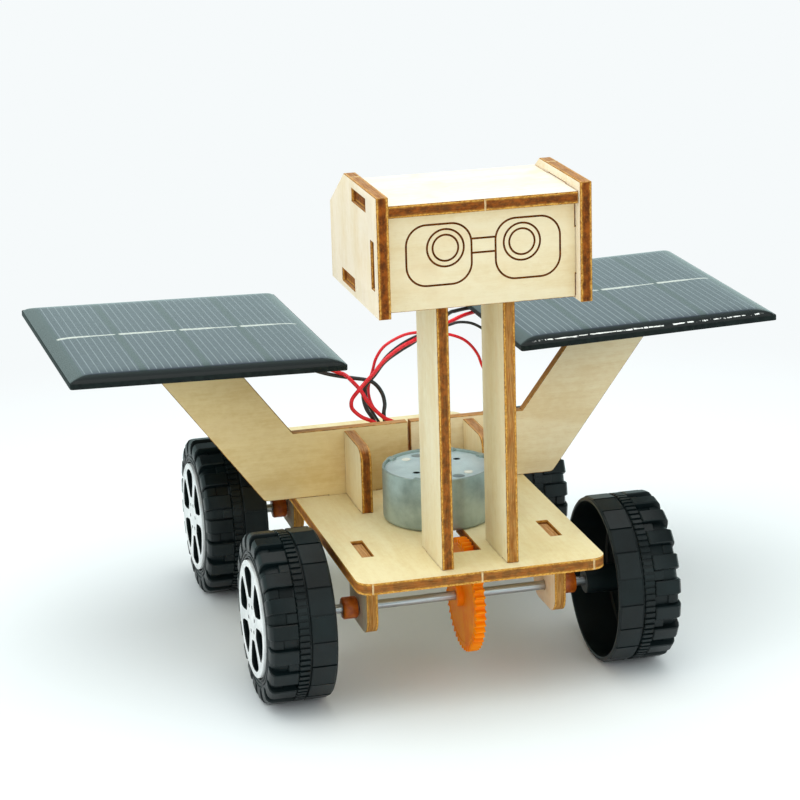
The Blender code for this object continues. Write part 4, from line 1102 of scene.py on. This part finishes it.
for sx, side in ((-1, "left"), (1, "right")):
    px, py, pz, tilt, yaw = SEAT[sx]
    yaw = math.radians(yaw)
    place = Matrix.Translation((Vector((sx * px, py, pz)) + OFF) * MM) @ Matrix.Rotation(yaw, 4, "Z") @ Matrix.Rotation(-sx * math.radians(tilt), 4, "Y")
    top = dome(f"panel_dome_{side}", cell_material(side))
    top.matrix_world = place
    finish_piece(top, "chassis", "clear_resin", f"solar_resin_{side}", f"solar_cells_{side}")
    b = sheet(f"panel_board_{side}", rounded([(-30.1, -34.1, 0.7), (30.1, -34.1, 0.7), (30.1, 34.1, 0.7), (-30.1, 34.1, 0.7)], 5), [], 1.2, [BOARD, BOARD, BOARD], bevel=0.12, plane="XY", offset=False)
    for v in b.data.vertices:
        v.co.z += 0.6 * MM
    # solder pads and a tinned joint for each wire on the underside
    pads = []
    pads_at = ((24.9, -1.1), (24.9, 2.0)) if sx < 0 else ((-24.2, 9.4), (-23.0, 11.6))
    for qx, qy in pads_at:
        v, f = lathe([(0.02, 0.0001), (0.02, 1.5), (-0.06, 1.5), (-0.10, 1.3), (-0.45, 0.8), (-0.62, 0.4), (-0.66, 0.0001)], 24, closed=False, axis="Z")
        pads.append(([(a + qx * MM, c + qy * MM, e) for a, c, e in v], f, 0))
    pad = new_object(f"pads_{side}", mesh_from(f"pads_{side}", pads, [TINNED]))
    b = join([b, pad], f"panel_board_{side}")
    b.matrix_world = place
    finish_piece(b, "chassis", "circuit_board", f"solar_board_{side}")
    dx, dy = sx * ((26.9 + 33.9) / 2 + (pz - 1.0 - (46.6 + DECK_TOP) / 2) * 0.745 - px), 2.3 + T / 2 - py
    cx, cy = dx * math.cos(yaw) + dy * math.sin(yaw), dy * math.cos(yaw) - dx * math.sin(yaw)
    f = sheet(f"arm_tape_{side}", rect(cx - 8.0, cx + 8.0, cy - T / 2 - 1.0, cy + T / 2 + 1.0), [], 0.8, [FOAM, FOAM, FOAM], bevel=0.1, plane="XY", offset=False)
    for v in f.data.vertices:
        v.co.z -= 0.45 * MM
    f.matrix_world = place
    finish_piece(f, "chassis", "foam_tape", f"panel_pad_{side}")


# =============================================================== wires
def catmull(points, per=10):
    p = [Vector(q) for q in points]
    p = [p[0] * 2 - p[1]] + p + [p[-1] * 2 - p[-2]]
    out = []
    for i in range(1, len(p) - 2):
        for k in range(per):
            t = k / per
            out.append(0.5 * ((2 * p[i]) + (p[i + 1] - p[i - 1]) * t + (2 * p[i - 1] - 5 * p[i] + 4 * p[i + 1] - p[i + 2]) * t * t
                              + (3 * p[i] - p[i - 1] - 3 * p[i + 1] + p[i + 2]) * t ** 3))
    out.append(p[-2])
    return out


def wire(name, node, slot, way, mat, r=0.46, tips=True):
    pts = catmull(way)
    objs = []
    runs = [("skin", pts[2:-5] if tips else pts, r, mat)]
    if tips:
        runs += [("tip_a", pts[:4], 0.22, TINNED), ("tip_b", pts[-7:], 0.22, TINNED)]
    for part, seq, rr, m in runs:
        cu = bpy.data.curves.new(name, "CURVE")
        cu.dimensions = "3D"
        cu.bevel_depth = rr * MM
        cu.bevel_resolution = 4
        cu.use_fill_caps = True
        sp = cu.splines.new("POLY")
        sp.points.add(len(seq) - 1)
        for q, v in zip(sp.points, seq):
            q.co = (*(v * MM), 1)
        o = bpy.data.objects.new(name + part, cu)
        scene.collection.objects.link(o)
        o = evaluated(o)
        fix_normals(o.data)
        o.data.materials.clear()
        o.data.materials.append(m)
        objs.append(o)
    o = join(objs, name) if len(objs) > 1 else objs[0]
    o.name = name
    smooth(o, 50)
    o.location = OFF * MM
    return finish_piece(o, "chassis", slot, *([node] if node else []))


wire("lead_black_left", "wire_black_left", "wire_black", [(-25, 15, 66.4), (-23.5, 14.6, 62.5), (-20.5, 13.6, 58.6), (-16.7, 13, 56.8), (-11.6, 12, 55.6), (-7.3, 11, 54.8), (-5.3, 11, 53.5), (-3.9, 11, 51.3), (-3.5, 10.5, 48.9), (-3.9, 10, 46.6),
     (-3.2, 10.2, 43.6), (-0.6, 10.8, 40), (1.2, 10.2, 36.6), (1.0, 6.6, 33.2), (1.0, 0, 32.8), (2.9, -5.0, 33.6), (3.6, -6.5, 34.4)], BLACK)
wire("lead_red_left", "wire_red_left", "wire_red", [(-25, 12, 66.4), (-22.6, 12, 62.6), (-18.6, 12, 59.4), (-14.0, 12, 57.1), (-12.5, 11.5, 56.5), (-11.3, 10, 55.4), (-9.5, 9, 53.2), (-8.1, 8.5, 50.7), (-6.2, 8, 48.2), (-4.2, 8, 46.3), (-1.4, 8, 44.4),
     (-1.9, 8, 41), (-3.2, 7.6, 37.5), (-3.2, 6.4, 34.8), (-3.2, 0, 34.2), (-3.2, -5.0, 34.4), (-2.4, -6.5, 34.8)], RED)
wire("lead_red_right", "wire_red_right", "wire_red", [(26.5, 26, 66.2), (24.7, 25, 65.5), (22.1, 24, 65.1), (18.5, 22, 64.9), (14.8, 20, 64.2), (9.9, 17, 63.5), (4.9, 14, 62.4), (1.1, 12.5, 61.3), (-3.1, 11, 59.1), (-5.9, 10, 56.6), (-8.0, 9.5, 54.8),
     (-9.9, 9, 53.1), (-11.4, 9, 51.3), (-11.7, 9, 49.7), (-11.1, 9, 48.4), (-9.4, 8.5, 46.9), (-7.5, 8, 46.0), (-5.2, 8.4, 44.2), (-3.6, 10.6, 40.5), (-1.8, 9.4, 36.6), (-1.4, 6, 35.6), (-1.4, 0, 35.4), (-2.6, -5.0, 36.0), (-2.4, -6.5, 35.8)], RED)
wire("lead_black_right", "wire_black_right", "wire_black", [(27.6, 28, 66.1), (23.8, 27, 65.5), (20.7, 26.5, 65.4), (17.8, 25.5, 65.3), (16.0, 24.5, 65.1), (10.7, 20, 63.4), (5.4, 16, 61.5), (1.5, 14, 60.3), (-2.7, 12.5, 58.3), (-5.5, 11.5, 55.6), (-7.4, 11, 53.9),
     (-8.3, 11, 51.8), (-8.2, 11, 49.7), (-7.7, 10.5, 47.9), (-6.7, 10, 46.2), (-5.6, 10.4, 44.2), (-1.6, 15, 40.2), (3.2, 13.4, 36.6), (3.5, 8, 35.2), (3.3, 2, 34.8), (3.2, -5.0, 35.9), (3.6, -6.5, 35.6)], BLACK)
# two thinner strands loop over to the right panel
wire("strand_red", None, "wire_red", [(43, 13, 66.3), (36, 14, 65.2), (31, 15, 62), (28.4, 16, 57), (27.2, 17, 52), (26.5, 18, 49), (25.6, 18.2, 47.6), (24.6, 18.1, 47.7), (24.0, 18, 49.2), (23.2, 17.5, 51.1), (21.7, 17, 53.9), (20.6, 16.5, 56.7), (18.8, 16, 59.3), (16.6, 15.5, 61.2), (13.5, 15, 62.6),
     (9.2, 14.5, 63.7), (4.9, 14, 64.1), (1.5, 13.5, 63.7), (-2.5, 13, 61.9), (-4.6, 13, 59.2), (-5.5, 13, 56.4), (-6.4, 13, 53.7), (-6.7, 12.5, 50.8), (-5.7, 12, 47.7), (-3.7, 11, 45.4), (-2.2, 9.2, 42.4), (-2.9, 8.2, 39.6)], RED, 0.35, False)
wire("strand_black", None, "wire_black", [(36, 16, 66.3), (35, 16.5, 62.5), (31, 18, 59), (27, 19, 58.5), (24.3, 19, 60.7), (21.8, 18, 62.8), (19.3, 17.5, 64.2), (16.3, 17, 64.8), (13.8, 16.5, 64.5), (9.5, 15.5, 63.9), (5.1, 15, 62.8), (1.6, 14.5, 61.4),
     (-1.8, 14, 59.2), (-4.2, 14, 56.3), (-6.0, 14, 53.4), (-6.9, 14, 51.1), (-6.8, 13.5, 48.6), (-5.8, 12.5, 46.4), (-4.2, 11.2, 43.6), (-1.6, 11.0, 40.6)], BLACK, 0.33, False)
for nm, mat_, slot_, a_, b_ in (("joint_red", RED, "wire_red", (-2.2, 9.0, 42.2), (-3.0, 7.9, 38.6)), ("joint_black", BLACK, "wire_black", (-2.2, 10.9, 41.8), (-0.4, 10.9, 39.4))):
    # a short sleeve over each joint
    cu_ = wire(nm, None, slot_, [a_, tuple((p + q) / 2 for p, q in zip(a_, b_)), b_], mat_, 0.72, False)


# =============================================================== stage, light and camera
def stage():
    g = Graph("stage_paper")
    n = g.noise(g.mm((0.002, 0.002, 0.002)), 1.0, 2, 0.5)
    p = g.node("ShaderNodeNewGeometry").outputs["Position"]
    d = g.node("ShaderNodeVectorMath", operation="LENGTH")
    g.link(p, d.inputs[0])
    far = g.span(d.outputs["Value"], 0.085, 0.27)
    m = g.set(color=g.mix(far, g.mix(n, lin(232, 237, 239), lin(236, 240, 242)), (0, 0, 0)), rough=0.95, spec=0.0)
    gloss = g.node("ShaderNodeLightPath").outputs["Is Glossy Ray"]
    g.put(g.mix(gloss, lin(246, 250, 251), (0.60, 0.79, 0.78)), g.bsdf.inputs["Emission Color"])
    g.put(far, g.bsdf.inputs["Emission Strength"])
    prof = [(0, 0.0000001), (0, 0.3), (0, 0.6), (0, 1.2), (0, 2.4), (0.05, 2.9), (0.25, 3.4), (0.7, 3.8), (1.4, 4.0), (2.4, 4.0)]
    v, f = lathe([(h * 1000, r * 1000) for h, r in prof], 64, closed=False, axis="Z")
    o = new_object("floor", mesh_from("floor", [(v, f, 0)], [m]))
    for p in o.data.polygons:
        p.use_smooth = True


stage()
world = bpy.data.worlds.new("studio")
scene.world = world
world.use_nodes = True
# a greenish fill from all round, which shiny surfaces mirror as a much darker ceiling
bg = world.node_tree.nodes["Background"]
path = world.node_tree.nodes.new("ShaderNodeLightPath")
pick = world.node_tree.nodes.new("ShaderNodeMix")
pick.data_type = "RGBA"
pick.inputs[6].default_value = (0.89, 0.98, 0.955, 1)
pick.inputs[7].default_value = (0.14, 0.18, 0.18, 1)
world.node_tree.links.new(path.outputs["Is Glossy Ray"], pick.inputs[0])
world.node_tree.links.new(pick.outputs[2], bg.inputs[0])
bg.inputs[1].default_value = 0.93


def area(name, at, to, size, power, colour=(1, 1, 1), size_y=None):
    l = bpy.data.lights.new(name, "AREA")
    l.energy = power
    l.color = colour
    l.size = size
    if size_y:
        l.shape = "RECTANGLE"
        l.size_y = size_y
    o = bpy.data.objects.new(name, l)
    scene.collection.objects.link(o)
    o.location = at
    o.rotation_euler = (Vector(to) - Vector(at)).to_track_quat("-Z", "Y").to_euler()
    return o


area("top_soft", (-0.12, 0.05, 1.3), (0, 0, 0.05), 1.5, 10.4, (1.0, 0.985, 0.965))
area("left_soft", (-1.3, -0.5, 0.85), (0, 0, 0.05), 1.2, 3.3, (1.0, 0.985, 0.975))
area("front_soft", (0.5, -1.6, 0.9), (0, 0, 0.05), 0.8, 2.5, (1.0, 0.99, 0.98))

cam_data = bpy.data.cameras.new("camera")
cam = bpy.data.objects.new("camera", cam_data)
scene.collection.objects.link(cam)
scene.camera = cam
yaw, pitch, roll = (math.radians(a) for a in (14.187, -16.196, -1.634))
fwd = Vector((math.sin(yaw) * math.cos(pitch), math.cos(yaw) * math.cos(pitch), math.sin(pitch)))
right = Vector((math.cos(yaw), -math.sin(yaw), 0))
up = right.cross(fwd)
r2 = right * math.cos(roll) + up * math.sin(roll)
u2 = -right * math.sin(roll) + up * math.cos(roll)
rot = Matrix((r2, u2, -fwd)).transposed()
cam.matrix_world = Matrix.Translation(Vector((-145.943, -509.725 - 57.6 + 2.7, 147.682 + 74.9 + 0.06)) * MM) @ rot.to_4x4()
cam_data.sensor_width = 36.0
cam_data.lens = 2710.786 / 800 * 36.0
cam_data.clip_start = 0.05
cam_data.clip_end = 20
